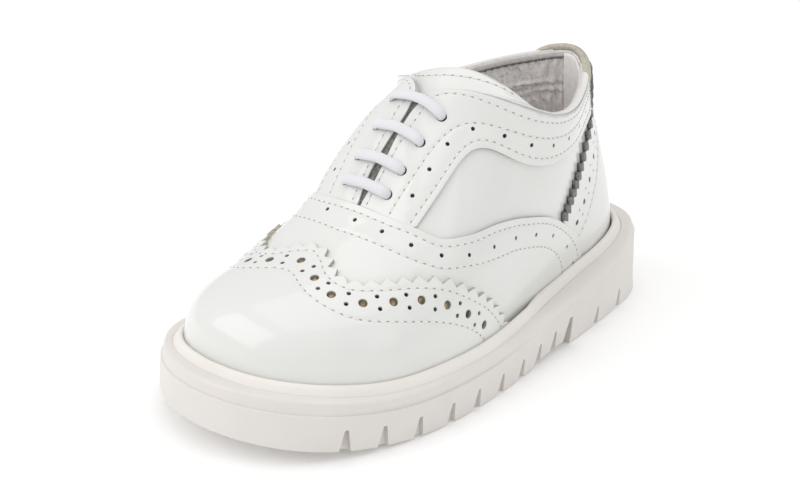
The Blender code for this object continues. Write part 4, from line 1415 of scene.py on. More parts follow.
@dataclass
class Vamp(LeatherWork):
    """Vamp from under the wing tip to its raised wavy edge."""

    under_wing: float = 1.5

    def build(self) -> None:
        """Cut, build and sew the vamp."""
        lines = [across_ridge(VAMP_STITCH), across_ridge(VAMP_INNER_STITCH)]
        edge = self.above_foot(self.chart.resampled(self.vamp_edge(), self.loop_step))
        front = self.chart.sideways(across_ridge(WING_STITCH), -self.under_wing)
        front = self.above_foot(self.chart.resampled(front, 1.0))
        outer_foot = self.foot_line(float(edge[-1, 0]), float(front[-1, 0]), 1.0)
        inner_foot = self.foot_line(float(front[0, 0]), float(edge[0, 0]), -1.0)
        loop = np.concatenate([edge, outer_foot, front[::-1], inner_foot])
        holes = [Hole(u, 1.0 - s, self.small_hole) for u, s in VAMP_TOP_HOLES_OUTER + VAMP_HOLES]
        holes += [Hole(u, s - 1.0, self.small_hole) for u, s in VAMP_TOP_HOLES_INNER + VAMP_HOLES]
        panel = Panel("vamp_leather", "vamp", self.chart, loop[::-1], GAP, self.level, holes,
                      [Trough(line) for line in lines], True)
        self.finish(panel, "vamp_stitches", lines, self.shade_disc_height)


@dataclass
class Facing(LeatherWork):
    """Facing and collar band of one side, from the slit and topline down to its raised lower edge."""

    side: Side = Side.OUTER
    counter_margin: float = 0.5
    eyelet: float = 1.5
    vamp_dip: float = 0.45
    vamp_dip_width: float = 2.4

    def turned(self, uv: Array) -> Array:
        """Outer-side rows carried to this side."""
        return uv if self.side is Side.OUTER else mirrored(uv)

    def outline(self, vamp: Array) -> Array:
        """Outline on the outer side, from the lower edge up the counter and back along the topline."""
        low = one_side(BAND_EDGE)
        back = self.chart.sideways(one_side(COUNTER_EDGE), self.counter_margin)
        front_u = np.interp(low[:, 1], vamp[:, 1], vamp[:, 0])
        back_u = np.interp(low[:, 1], back[::-1, 1], back[::-1, 0])
        low = low[(low[:, 0] > front_u) & (low[:, 0] < back_u)]
        rise = back[(back[:, 1] < low[-1, 1]) & (back[:, 1] > 0.0)]
        drop = vamp[(vamp[:, 1] < low[0, 1]) & (vamp[:, 1] > 0.0)]
        top_u = np.linspace(float(rise[-1, 0]), float(drop[0, 0]), 220)
        inset = np.interp(top_u, *np.transpose(SLIT_INSET))
        top = np.stack([top_u, inset / np.interp(top_u, self.chart.u, self.chart.width)], -1)
        return self.even_loop(np.concatenate([low, rise, top, drop]))

    def holes(self) -> list[Hole]:
        """Small holes along the band, then the eyelets."""
        outer = self.side is Side.OUTER
        rows = [(u, s, self.small_hole) for u, s in BAND_HOLES]
        rows += [(u, s if outer else inner, self.eyelet) for u, s, inner in EYELETS]
        return [Hole(u if outer else 2.0 - u, 1.0 - s, radius) for u, s, radius in rows]

    def build(self) -> None:
        """Cut, build and sew the facing."""
        vamp = self.vamp_neighbour()
        loop = self.turned(self.outline(vamp))
        lines = []
        for line in map(one_side, (BAND_STITCH, BAND_INNER_STITCH, TOPLINE_STITCH)):
            first = np.interp(line[:, 1], vamp[:, 1], vamp[:, 0]) + self.beside_vamp
            lines.append(self.turned(line[line[:, 0] > first]))
        dip = self.turned(self.chart.sideways(vamp, -self.vamp_clear))
        troughs = [Trough(line) for line in lines] + [Trough(dip, self.vamp_dip, self.vamp_dip_width)]
        word = "lateral" if self.side is Side.OUTER else "medial"
        panel = Panel("facing_" + word, "eyestay_" + word, self.chart,
                      loop[::-1] if self.side is Side.OUTER else loop, GAP, self.level, self.holes(), troughs)
        self.finish(panel, panel.name + "_stitches", lines, self.shade_disc_height)


@dataclass
class Counter(LeatherWork):
    """Heel counter round the back, with a row of holes behind each front edge."""

    under_tape: float = 0.3
    vamp_end: float = 0.99
    middle_hole: float = 1.0
    tiny_hole: float = 0.55
    vamp_dip: float = 0.4
    vamp_dip_width: float = 2.4

    def holes(self) -> list[Hole]:
        """Holes of both sides, each row followed by the tiny pairs between its holes."""
        outer = np.array([(u, 1.0 - s) for u, s in COUNTER_HOLES])
        holes = []
        for rows in (outer, mirrored(outer)):
            holes += [Hole(float(u), float(v), self.middle_hole) for u, v in rows]
            for a, b in zip(rows[:-1], rows[1:]):
                holes += self.small_pair(a, b, self.tiny_hole)
        return holes

    def build(self) -> None:
        """Cut, build and sew the counter."""
        front = self.chart.sideways(one_side(COUNTER_EDGE), -self.under_tape)
        front = front[front[:, 1] > 0.0]
        vamp = self.vamp_neighbour()
        vamp = vamp[(vamp[:, 0] > front[0, 0] + self.beside_vamp) & (vamp[:, 1] > front[0, 1])
                    & (vamp[:, 1] < self.vamp_end)]
        outer = np.concatenate([vamp[::-1], front])
        inner = mirrored(outer)
        top_u = np.linspace(outer[-1, 0], inner[-1, 0], 12)
        top = np.stack([top_u, np.zeros_like(top_u)], -1)
        foot_u = float(vamp[-1, 0])
        foot = self.foot_line(2.0 - foot_u, foot_u, 1.0)[:-1]
        loop = self.even_loop(np.concatenate([outer, top, inner[::-1], foot]))
        stitch = one_side(COUNTER_STITCH)
        lines = [stitch, mirrored(stitch)]
        troughs = [Trough(line) for line in lines]
        troughs += [Trough(line, self.vamp_dip, self.vamp_dip_width) for line in (vamp, mirrored(vamp))]
        panel = Panel("back_counter", "heel_counter", self.chart, loop, GAP, self.level, self.holes(),
                      troughs)
        self.finish(panel, "back_counter_stitches", lines, self.shade_disc_height)


@dataclass
class CounterTape:
    """Grey tape along the counter's front edge: upright tiles that touch at their corners.

    A tile is a rectangle in the pattern, sheared so that its ends stay level, and it lies on the
    counter's edge; near the collar the tape is wider and stands out further.
    """

    chart: Chart
    use: Finishes
    tiles: int = 17
    tall: float = 2.6
    slope: float = 0.33
    wide: float = 2.75
    wide_gain: float = 1.4
    lift: float = GAP + LEATHER + 0.14
    lift_gain: float = 0.8
    gain_start: float = 0.68
    gain_run: float = 0.2
    rim_drop: float = 0.16
    foot: float = 0.2

    def build(self) -> None:
        """Build the tiles of both sides as one piece."""
        form, count, cells = self.chart.form, self.tiles, 5
        line = one_side(COUNTER_EDGE)
        v = line[0, 1] * (1.0 - (np.arange(count) + 0.5) / count)
        u = np.interp(v, line[::-1, 1], line[::-1, 0])
        share = 1.0 - v / line[0, 1]
        wide = self.wide + self.wide_gain * share
        lift = self.lift + self.lift_gain * ease((share - self.gain_start) / self.gain_run)
        e = 0.002
        near = form.surface(u - e, 1.0 - v)
        per_station = np.linalg.norm(form.surface(u + e, 1.0 - v) - near, axis=-1) / (2.0 * e)
        down = np.interp(u, self.chart.u, self.chart.width)
        across = np.linspace(-0.5, 0.5, cells)
        b, a = (part.ravel() for part in np.meshgrid(across[::-1], across, indexing="ij"))
        tile_u = u[:, None] + a * (wide / per_station)[:, None]
        tile_v = v[:, None] + (b * self.tall + self.slope * a * wide[:, None]) / down[:, None]
        rim = np.maximum(np.abs(a), np.abs(b)) > 0.4
        height = lift[:, None] - np.where(rim, self.rim_drop, 0.0)
        level = np.clip(1.0 - tile_v, 0.0, 1.0)
        tiles = []
        for side in Side:
            place = tile_u if side is Side.OUTER else 2.0 - tile_u
            top = form.offset(place, level, height).reshape(count, cells, cells, 3)
            foot = form.offset(place, level, self.foot).reshape(count, cells, cells, 3)
            if side is Side.INNER:
                top, foot = top[:, :, ::-1], foot[:, :, ::-1]
            tiles += [closed_sheet(*pair) for pair in zip(top, foot)]
        new_piece("counter_tape", *joined(tiles), [self.use.slate], "heel_counter")


@dataclass
class HoleShadeAndBronze:
    """Discs that close the punched holes: near-black painted shade in most, bronze backing in the wing tip's
    large ones.
    """

    plugs: list[Plug]
    use: Finishes
    sides: int = 16
    thickness: float = 0.25

    def build(self) -> None:
        """Build the discs of all panels as one piece."""
        place = np.array([plug.place for plug in self.plugs])
        normal = np.array([plug.normal for plug in self.plugs])
        radius = np.array([plug.radius for plug in self.plugs])
        kind = np.array([plug.kind.value for plug in self.plugs])
        across = np.where(np.abs(normal[:, 2:]) < 0.9, (0.0, 0.0, 1.0), (0.0, 1.0, 0.0))
        side = unit(np.cross(normal, across))
        ahead = np.cross(normal, side)
        turn = turns(self.sides)[None, :, None]
        ring = side[:, None] * np.cos(turn) + ahead[:, None] * np.sin(turn)
        points, faces = coins(place[:, None] + ring * radius[:, None, None], 0.0 * normal,
                              normal * self.thickness)
        index = np.concatenate([kind, kind, np.repeat(kind, self.sides)])
        # Finish 0 paints the shade of the holes near-black, finish 1 is the bronze backing
        new_piece("punched_hole_shade_and_bronze", points, faces, [self.use.dark, self.use.bronze], "upper", (), index)


@dataclass
class Shell:
    """Base shell with the smooth recessed side panels, open at collar, slit and underneath."""

    form: Form
    use: Finishes
    inner_depth: float = 0.7
    fold_limit: float = 0.12

    def soft_folds(self, u: Array, s: Array) -> Array:
        """Soft troughs and ridges of the side panel, each depth times exp(-(distance / spread) squared)."""
        near = np.minimum(u, 2.0 - u)
        height = np.zeros_like(u)
        for middle_u, middle_s, tilt, wide, tall, depth in SIDE_FOLDS:
            a = (near - middle_u - tilt * (s - middle_s)) / wide
            b = (s - middle_s) / tall
            height += depth * np.exp(-a * a - b * b)
        return np.minimum(height, self.fold_limit)

    def build(self) -> None:
        """Build the shell."""
        half = np.linspace(0.006, 1.0, 230)
        u, s = np.meshgrid(np.concatenate([half, 2.0 - half[-2::-1]]), np.linspace(0.0, 1.0, 56))
        outer = self.form.offset(u, s, self.soft_folds(u, s))
        inner = self.form.offset(u, s, -self.inner_depth)
        new_piece("upper_shell", *closed_sheet(outer, inner), [self.use.smooth], "upper", ["upper"])


@dataclass
class Lining:
    """Wrinkled lining inside the wall, with a smooth heel grip, a collar binding and dark stitches.

    Depths are millimetres inside the form, for the back and the face of each sheet.
    """

    form: Form
    use: Finishes
    depths: Span = (0.75, 1.5)
    fine_span: Span = (1.0, 1.16)
    top_share: float = 0.996
    fine_share: float = 0.55
    smooth_share: float = 0.965
    wave_height: float = 0.075
    level_width: float = 0.012
    level_depth: Span = (0.75, 0.5)
    upright_width: float = 0.0045
    upright_depth: Span = (0.45, 0.30)
    ridge_shift: float = 1.8
    wrinkle_limit: float = 0.6
    grip_span: Span = (0.86, 1.018)
    grip_shares: Span = (0.10, 0.985)
    grip_depths: Span = (1.7, 2.0)
    binding_shares: Span = (0.962, 0.999)
    binding_depths: Span = (1.2, 1.62)
    swell: float = 0.25
    stitch_spans: tuple[Span, ...] = ((0.64, 0.86), (1.02, 1.36))
    stitch_share: float = 0.957
    stitch_depth: float = 1.75
    stitch_size: Triple = (2.3, 1.8, 0.34)

    def wrinkles(self, u: Array, s: Array) -> Array:
        """Height of the wrinkles: fine upright waves and a few creases placed one by one.

        A crease is a ridge, depth times exp(-(distance / width) squared), beside a shallower trough, and
        it fades along its length.
        """
        wave = np.zeros_like(u)
        draw = np.random.default_rng(7)
        for _ in range(26):
            across, up = draw.uniform(120.0, 420.0), draw.uniform(-14.0, 14.0)
            phase, size = draw.uniform(0.0, 6.28), draw.uniform(0.5, 1.0)
            wave += size * np.sin(across * u + up * s + phase)
        height = self.wave_height * wave
        creases = []
        for middle_u, middle_s, tilt, spread in LEVEL_CREASES:
            gap = (s - middle_s - tilt * (u - middle_u)) / self.level_width
            creases.append((gap, (u - middle_u) / spread, self.level_depth))
        for middle_u, middle_s, lean, tall in UPRIGHT_CREASES:
            gap = (u - middle_u - lean * (s - middle_s)) / self.upright_width
            creases.append((gap, (s - middle_s) / tall, self.upright_depth))
        for gap, along, (ridge, trough) in creases:
            height += ridge * np.exp(-gap * gap - along ** 2)
            height -= trough * np.exp(-(gap - self.ridge_shift) ** 2 - along ** 2)
        return np.clip(height, -self.wrinkle_limit, self.wrinkle_limit)

    def sheet(self, name: str, u: Array, s: Array, depths: Span, swell: Array,
              finish: Material) -> None:
        """A sheet inside the wall between two depths, with its face moved out by a swell."""
        rear = self.form.offset(u, s, -depths[0])
        face = self.form.offset(u, s, -depths[1] + swell)
        new_piece(name, *closed_sheet(rear, face), [finish], "upper")

    def build(self) -> None:
        """Build the lining, the grip, the binding of both sides and the stitches."""
        start, end = self.fine_span
        u = np.concatenate([np.linspace(0.02, start, 151)[:-1], np.linspace(start, end, 171),
                            np.linspace(end, 1.98, 121)[1:]])
        s = np.concatenate([np.linspace(0.0, self.fine_share, 21)[:-1],
                            np.linspace(self.fine_share, self.top_share, 81)])
        u, s = np.meshgrid(u, s)
        creased = self.wrinkles(u, s) * ease((self.smooth_share - s) / 0.05)
        self.sheet("lining", u, s, self.depths, creased, self.use.lining)
        u, s = np.meshgrid(np.linspace(*self.grip_span, 60), np.linspace(*self.grip_shares, 50))
        swell = -self.swell * ease((1.0 - np.abs(s - 0.55) / 0.45) / 0.3)
        self.sheet("heel_grip", u, s, self.grip_depths, swell, self.use.grip)
        for name, span in (("collar_binding_outer", (0.63, 0.958)), ("collar_binding_inner", (1.0, 1.37))):
            u, s = np.meshgrid(np.linspace(*span, 150), np.linspace(*self.binding_shares, 8))
            swell = -self.swell * np.sqrt(np.clip(1.0 - ((s - 0.98) / 0.019) ** 2, 0.0, 1.0))
            self.sheet(name, u, s, self.binding_depths, swell, self.use.binding)
        runs = []
        for span in self.stitch_spans:
            u = np.linspace(*span, 240)
            place = self.form.offset(u, self.stitch_share, -self.stitch_depth)
            normal = -self.form.normal(u, self.stitch_share)
            runs.append(StitchRun(place, normal, *self.stitch_size))
        stitch_piece("collar_stitches", "upper", runs, [self.use.grey_thread, self.use.grey_thread])


@dataclass
class Topline:
    """Rolled edge of the collar: a low oval along the top of the wall, white outside, grey inside."""

    form: Form
    use: Finishes
    spans: tuple[Span, ...] = ((0.607, 0.962), (1.038, 1.393))
    points: int = 220
    around: int = 14
    inset: float = 0.38
    half_width: float = 0.4
    width_gain: float = 0.72
    width_start: float = 0.66
    half_height: float = 0.2
    height_gain: float = 0.14
    height_start: float = 0.68
    gain_run: float = 0.05
    inside_from: float = -0.35

    def build(self) -> None:
        """Build the edge of both sides as one piece."""
        angle = turns(self.around) + math.pi / self.around
        inside_faces = np.where(np.cos(angle) < self.inside_from, 1, 0)
        tubes, kinds = [], []
        for span in self.spans:
            u = np.linspace(*span, self.points)
            path = self.form.offset(u, 1.0, -self.inset)
            normal = self.form.normal(u, 1.0)
            up = unit(np.cross(normal, unit(np.gradient(path, axis=0))))
            near = np.minimum(u, 2.0 - u)
            wide = self.half_width + self.width_gain * ease((near - self.width_start) / self.gain_run)
            high = self.half_height + self.height_gain * ease((near - self.height_start) / self.gain_run)
            tubes.append(tube(path, normal, up, wide, high, self.around))
            kinds += np.tile(inside_faces, self.points - 1).tolist() + [0, 0]
        new_piece("topline_edge", *joined(tubes), [self.use.patent, self.use.binding], "upper", (),
                  np.array(kinds))


@dataclass
class HeelTab:
    """Tab at the top of the back, a thick raw-edged leather that stands above the collar.

    It is a sheet over the collar: the lower part lies on the counter, and above the fold share it goes
    straight up by the lift that TAB_LIFT gives.
    """

    form: Form
    use: Finishes
    middle: float = 0.994
    half_span: float = 0.066
    foot_share: float = 0.955
    fold: float = 0.45
    columns: int = 61
    rows: int = 18
    outside: float = 1.15
    swell: float = 0.2
    round_off: float = 0.25
    inside: float = 0.9
    thickening: float = 1.9
    raw_from: float = 0.72

    def build(self) -> None:
        """Build the tab."""
        a, b = np.meshgrid(np.linspace(-1.0, 1.0, self.columns), np.linspace(0.0, 1.0, self.rows))
        u = self.middle + a * self.half_span
        s = self.foot_share + (1.0 - self.foot_share) * np.minimum(b / self.fold, 1.0)
        rise = np.clip((b - self.fold) / (1.0 - self.fold), 0.0, 1.0)
        lift = np.interp(a, *np.transpose(TAB_LIFT)) * rise
        face = self.outside + self.swell * ease(b / 0.3) - self.round_off * ease((b - 0.8) / 0.2)
        rear = np.where(b < self.fold, self.inside, self.inside - self.thickening * ease((b - 0.4) / 0.12))
        rear = rear + self.round_off * ease((b - 0.85) / 0.15)
        outer, inner = self.form.offset(u, s, face), self.form.offset(u, s, rear)
        outer[..., 2] += lift
        inner[..., 2] += lift
        points, faces = closed_sheet(outer, inner)
        middle = np.repeat((np.arange(self.rows - 1) + 0.5) / (self.rows - 1), self.columns - 1)
        kinds = np.ones(len(faces), int)
        kinds[:len(middle)] = np.where(middle > self.raw_from, 1, 0)
        new_piece("heel_tab", points, faces, [self.use.patent, self.use.raw], "heel_counter", (), kinds)


@dataclass
class Tongue:
    """Tongue under the facings, rising above the topline, stitched inside its edge, with a dark gusset.

    Its face is a spline over rows from root to top: rows under the facings, rows that fan out below
    the collar, and rows that climb to the free edge.
    """

    chart: Chart
    use: Finishes
    face_depth: float = 2.0
    back_depth: float = 3.8
    root_stations: tuple[float, ...] = (0.50, 0.53, 0.56, 0.59)
    root_spread: float = 0.30
    fan_station: float = 0.60
    fan_run: float = 0.135
    climb: tuple[float, ...] = (0.35, 0.7, 1.0)
    lean_drop: float = 0.55
    round_depth: float = 0.35
    round_start: float = 0.93
    stitch_share: float = 0.87
    stitch_end: int = 6
    stitch_lift: float = 0.03
    gusset_span: Span = (0.481, 0.612)
    gusset_half_width: float = 1.8
    gusset_heights: Span = (0.24, 0.05)

    def face(self, depth: float) -> Callable[[Array], Array]:
        """Spline over the rows of the tongue from root to top, each from inner to outer side."""
        form, half = self.chart.form, 31
        reach = np.linspace(0.0, 1.0, half)
        pairs = [(u, 1.0 - self.root_spread * reach) for u in self.root_stations]
        for b in self.climb:
            fan_u = self.fan_station + b * self.fan_run * reach
            pairs.append((fan_u, 1.0 - (1.0 - b) * self.root_spread * reach))
        rows = []
        for u, s in pairs:
            outer, inner = form.offset(u, s, -depth), form.offset(2.0 - u, s, -depth)
            rows.append(np.concatenate([inner[:0:-1], (outer[:1] + inner[:1]) / 2.0, outer[1:]]))
        across = np.linspace(-1.0, 1.0, 2 * half - 1)
        knots = np.array(TONGUE_EDGE)
        height = natural_spline(knots[:, 0], knots[:, 1])(across)
        lean = TONGUE_LEAN * (1.0 - across ** 2) * ease((across + 1.0) / 1.2)
        edge = np.stack([TONGUE_HALF_WIDTH * across - lean,
                         TONGUE_TOP_Y + TONGUE_SWEEP * across ** 2 + lean + 0.5 * depth,
                         height - self.lean_drop * lean - 0.2 * depth], -1)
        kept = np.array([0, 10, 20, 40, 50, 60])
        rows[-1] = natural_spline(across[kept], rows[-1][kept])(across)
        below = rows[-1]
        rows += [below + (edge - below) * share for share in self.climb]
        return natural_spline(np.linspace(0.0, 1.0, len(rows)), np.array(rows))

    def leather(self) -> None:
        """The tongue itself, with its upper edge rounded off."""
        share = np.linspace(0.0, 1.0, 90)
        face = self.face(self.face_depth)(share)
        back = self.face(self.back_depth)(share)
        normal = unit(np.cross(np.gradient(face, axis=1), np.gradient(face, axis=0)))
        round_off = ease((share - self.round_start) / (1.0 - self.round_start))[:, None, None]
        face = face - normal * self.round_depth * round_off ** 2
        new_piece("tongue_leather", *closed_sheet(face[::-1], back[::-1]), [self.use.patent], "tongue",
                  ["tongue"])

    def stitches(self) -> None:
        """A row of stitches below the upper edge."""
        row, above = self.face(self.face_depth)(np.array([self.stitch_share, self.stitch_share + 0.025]))
        up = unit(np.cross(np.gradient(row, axis=0), above - row))
        part = slice(self.stitch_end, -self.stitch_end)
        run = StitchRun(row[part] + up[part] * self.stitch_lift, up[part])
        stitch_piece("tongue_stitches", "tongue", [run], [self.use.thread, self.use.pit])

    def gusset(self) -> None:
        """Dark strip that shows in the slit between the facings."""
        a, u = np.meshgrid(np.linspace(-1.0, 1.0, 9), np.linspace(*self.gusset_span, 60))
        v = a * self.gusset_half_width / np.interp(u, self.chart.u, self.chart.width)
        uv = np.stack([u, v], -1)
        sheets = [self.chart.point(uv, height, False) for height in self.gusset_heights]
        new_piece("slit_gusset", *closed_sheet(*sheets), [self.use.slate], "tongue")

    def build(self) -> None:
        """Build the tongue, its stitches and the gusset."""
        self.leather()
        self.stitches()
        self.gusset()


@dataclass
class Laces:
    """Four straight bars of flat elastic from eyelet to eyelet, turning down into the punched holes."""

    form: Form
    use: Finishes
    climb: tuple[float, ...] = (0.0, 0.002, 0.016, 0.04)
    top_share: float = 0.965
    lift: tuple[float, ...] = (0.42, 1.3, 2.0, 2.2, 2.2)
    bridge_shift: Triple = (0.0, -0.2, 0.35)
    bridge_share: float = 0.985
    end_half_width: float = 1.15
    middle_gain: float = 0.3
    end_run: float = 0.12
    half_height: float = 0.82
    points: int = 90
    around: int = 20
    weave_step: float = 0.45
    weave_scale: float = 0.9

    def half_bar(self, u: float, s: float) -> tuple[Array, Array]:
        """Knots of a bar from its eyelet up to the slit, and the form's normals there."""
        share = np.array([s + step for step in self.climb] + [self.top_share])
        return self.form.offset(u, share, np.array(self.lift)), self.form.normal(u, share)

    def bar(self, name: str, node: str, u: float, s: float, s_inner: float) -> None:
        """One bar.

        Args:
            name: Name of the piece.
            node: CAD node that it stands for.
            u: Station of its eyelets.
            s: Share of height of the outer eyelet.
            s_inner: Share of height of the inner eyelet.
        """
        outer, outer_normal = self.half_bar(u, s)
        inner, inner_normal = self.half_bar(2.0 - u, s_inner)
        bridge = (outer[-1] + inner[-1]) / 2.0 + np.array(self.bridge_shift)
        knots = np.concatenate([outer, bridge[None], inner[::-1]])
        over = self.form.normal(np.array([u, 2.0 - u]), self.bridge_share).sum(0, keepdims=True)
        run = run_length(knots)
        places = np.linspace(0.0, run[-1], self.points)
        path = natural_spline(run, knots)(places)
        away = natural_spline(run, unit(np.concatenate([outer_normal, over, inner_normal[::-1]])))(places)
        ahead = unit(np.gradient(path, axis=0))
        before, after = self.form.surface(np.array([u - 0.01, u + 0.01]), s)
        side = after - before
        side = unit(side - ahead * (ahead * side).sum(-1, keepdims=True))
        up = np.cross(side, ahead)
        up = unit(up) * np.sign((up * away).sum(-1, keepdims=True))
        share = np.linspace(0.0, 1.0, self.points)
        end = np.minimum(share, 1.0 - share)
        wide = self.end_half_width + self.middle_gain * ease(end / self.end_run)
        points, faces = tube(path, side, up, wide, self.half_height, self.around)
        made = new_piece(name, points, faces, [self.use.lace], "lace", [node])
        self.weave(made.data, run[-1] / (self.points - 1.0))

    def weave(self, mesh: bpy.types.Mesh, step: float) -> None:
        """UV map of the braid: length along the bar and length round it."""
        layer = mesh.uv_layers.new(name="weave")
        index = np.empty(len(mesh.loops), np.int64)
        mesh.loops.foreach_get("vertex_index", index)
        place = np.stack([(index // self.around) * step, (index % self.around) * self.weave_step], -1)
        layer.data.foreach_set("uv", (place * self.weave_scale).astype(np.float32).ravel())

    def build(self) -> None:
        """Build the bars from the top down."""
        for number, eyelets in enumerate(EYELETS, 1):
            self.bar("lace_%d" % number, "lace_bar_%d" % number, *eyelets)


@dataclass(frozen=True)
class Notch:
    """Cutter that narrows upwards; low and high are its two sides along the sole."""

    low: Span
    high: Span
    tall: float
    deep: float
    below: float = 1.0
    outside: float = 4.0

    def corners(self, corner: Array, inward: Array, along: Array) -> list[Triple]:
        """The cutter's eight corners at a place on the sole's lower edge."""
        points = []
        for z, sides in ((-self.below, self.low), (self.tall, self.high)):
            for depth in (-self.outside, self.deep):
                for side in sides:
                    plan = corner[:2] + inward * depth + along * side
                    points.append((plan[0], plan[1], corner[2] + z))
        return points


@dataclass
class Sole:
    """Lugged sole, rubber bead round the upper and insole.

    near_end and far_end say where the wing tip's second layer ends for the bead's inner and outer
    edge: the station where the end begins, and the stations over which it runs out.
    """

    form: Form
    use: Finishes
    line: Callable[[Array], Array] = field(init=False)
    half_points: int = 170
    lug: Notch = Notch((-1.3, 2.1), (-0.5, 0.4), 5.6, 2.4)
    breast: Notch = Notch((-2.7, 2.5), (0.6, 2.2), 8.6, 100.0)
    breast_side: float = -50.0
    sharp_angle: float = 32.0
    near_end: Span = (0.66, 0.06)
    far_end: Span = (0.60, 0.25)
    heel_cover: float = 0.4
    heel_cover_end: Span = (0.80, 0.10)
    bead_start: float = 0.0024
    bead_under: float = 0.45
    bead_over: float = 1.1
    insole_half_points: int = 90
    insole_inset: float = 2.8

    def __post_init__(self) -> None:
        """Lay a closed spline through the outline."""
        rows = np.array(OUTLINE)
        u = np.concatenate([rows[:, 0], 2.0 - rows[-2:0:-1, 0]])
        x = np.concatenate([rows[:, 2], rows[-2:0:-1, 3]])
        y = np.concatenate([rows[:, 1], rows[-2:0:-1, 1]])
        u = np.concatenate([u - 2.0, u, u + 2.0])
        self.line = natural_spline(u, np.tile(np.stack([x, y], -1), (3, 1)))

    def outline(self, t: Array, inset: Array) -> Array:
        """Plan of the shoulder moved inwards."""
        point = self.line(t)
        ahead = unit(self.line(t + 1e-4) - point)
        return point + np.stack([-ahead[..., 1], ahead[..., 0]], -1) * np.asarray(inset)[..., None]

    def bead_ring(self, u: Array, outside: float, layer_end: Span) -> Array:
        """Plan of the bead at a distance outside the leather round the foot.

        Args:
            u: Stations.
            outside: Distance outside the bead's inner edge.
            layer_end: Where the wing tip's second layer ends.

        Returns:
            Places in plan.
        """
        foot = self.form.surface(u, 0.0)
        ahead = self.form.surface(u + 1e-4, 0.0) - foot
        outward = unit(np.stack([ahead[:, 1], -ahead[:, 0]], -1))
        layer = GAP + LEATHER
        near = np.minimum(u, 2.0 - u)
        wing, heel = (ease((near - start) / run) for start, run in (layer_end, self.heel_cover_end))
        cover = layer + layer * (1.0 - wing) + GAP + self.heel_cover * heel
        return foot[:, :2] + outward * (cover + outside)[:, None]

    def cutters(self) -> bpy.types.Object:
        """Boxes of the lug notches of both sides and of the wedge in front of the heel block."""
        stations = np.linspace(0.0, 2.0, 2001)
        line = self.outline(stations, 0.0 * stations)
        points = []
        for half in (slice(0, 1001), slice(1000, 2001)):
            for place in NOTCH_PLACES:
                u = stations[half][np.argmin(np.abs(line[half][:, 1] - place))]
                spot = self.outline(np.array(u), np.array(0.0))
                inward = self.outline(np.array(u), np.array(1.0)) - spot
                toe = np.array([-inward[1], inward[0]])
                toe = toe * -np.sign(toe[1])
                corner = np.array([spot[0], spot[1], float(bottom_height(spot[1]))])
                points += self.lug.corners(corner, inward, toe)
        corner = np.array([self.breast_side, BREAST_NOTCH_PLACE, 0.0])
        points += self.breast.corners(corner, np.array([1.0, 0.0]), np.array([0.0, 1.0]))
        box = np.array(((0, 1, 3, 2), (4, 6, 7, 5), (0, 4, 5, 1), (2, 3, 7, 6), (0, 2, 6, 4), (1, 5, 7, 3)))
        faces = (box + np.arange(0, len(points), 8)[:, None, None]).reshape(-1, 4)
        mesh = bpy.data.meshes.new("notch_cutters")
        mesh.from_pydata((np.array(points) * MM).tolist(), [], faces.tolist())
        cutter = bpy.data.objects.new("notch_cutters", mesh)
        bpy.context.scene.collection.objects.link(cutter)
        face_outwards(mesh)
        return cutter

    def cut_notches(self, sole: bpy.types.Object) -> None:
        """Cut the notches out of the sole's mesh."""
        cutter = self.cutters()
        cut = sole.modifiers.new("lug_notches", "BOOLEAN")
        cut.operation = "DIFFERENCE"
        cut.solver = "EXACT"
        cut.object = cutter
        view = bpy.context.evaluated_depsgraph_get()
        view.update()
        done = bpy.data.meshes.new_from_object(sole.evaluated_get(view))
        sole.modifiers.clear()
        sole.data = done
        bpy.data.objects.remove(cutter)
        done.polygons.foreach_set("use_smooth", np.ones(len(done.polygons), bool))
        done.set_sharp_from_angle(angle=math.radians(self.sharp_angle))

    def body(self) -> None:
        """Sole: rings of a side profile carried round the outline, closed across above and below.

        A ring is its inset from the outline, the height that it follows and the millimetres above that.
        """
        t = np.linspace(0.0, 2.0, 2 * self.half_points, endpoint=False)
        around = np.linspace(0.004, 1.996, 500)
        plan = self.outline(t, 0.0 * t)
        shelf = nearest(plan, self.bead_ring(around, WELT_WIDTH + GAP, self.far_end))
        pocket = nearest(plan, self.bead_ring(around, 0.0, self.near_end))
        rim, foot = rim_inset(plan[:, 1]), foot_inset(plan[:, 1])
        ridge = STEP_INSET * (1.0 - ease((plan[:, 1] - RIM_SIDE_START) / RIM_SIDE_RUN))
        step = 0.4 * foot + 0.6 * rim
        brow = rim + ridge
        drop = -STEP_DROP
        rings = (
            (foot + 0.5, bottom_height, 0.0), (foot + 0.2, bottom_height, 0.06),
            (foot + 0.05, bottom_height, 0.22), (foot, bottom_height, 0.5),
            (0.7 * foot + 0.3 * step, bottom_height, 3.0), (step, rim_height, drop - 0.5),
            (step + 0.05, rim_height, drop - 0.16), (step + 0.2 * ridge + 0.08, rim_height, drop),
            (step + ridge, rim_height, drop + 0.14), (step + ridge, rim_height, drop + 0.5),
            (brow + 0.08, rim_height, -1.5), (brow + 0.12, rim_height, -1.0), (brow + 0.3, rim_height, -0.5),
            (brow + 0.62, rim_height, -0.18), (brow + 1.0, rim_height, -0.04),
            (0.5 * shelf + 0.5 * brow + 0.5, rim_height, 0.0), (0.96 * shelf, rim_height, -0.02),
            (0.985 * shelf, rim_height, -0.3), (shelf, rim_height, -LEDGE_DEPTH),
            (pocket, rim_height, -LEDGE_DEPTH), (pocket + GAP, shoulder_height, -LEDGE_DEPTH),
        )
        points = []
        for inset, level, extra in rings:
            plan = self.outline(t, inset)
            points.append(np.column_stack([plan, level(plan[:, 1]) + extra]))
        sole = new_piece("lugged_sole", np.concatenate(points), capped_rings(len(rings), self.half_points),
                         [self.use.sole], "outsole", ["outsole"])
        face_outwards(sole.data)
        self.cut_notches(sole)

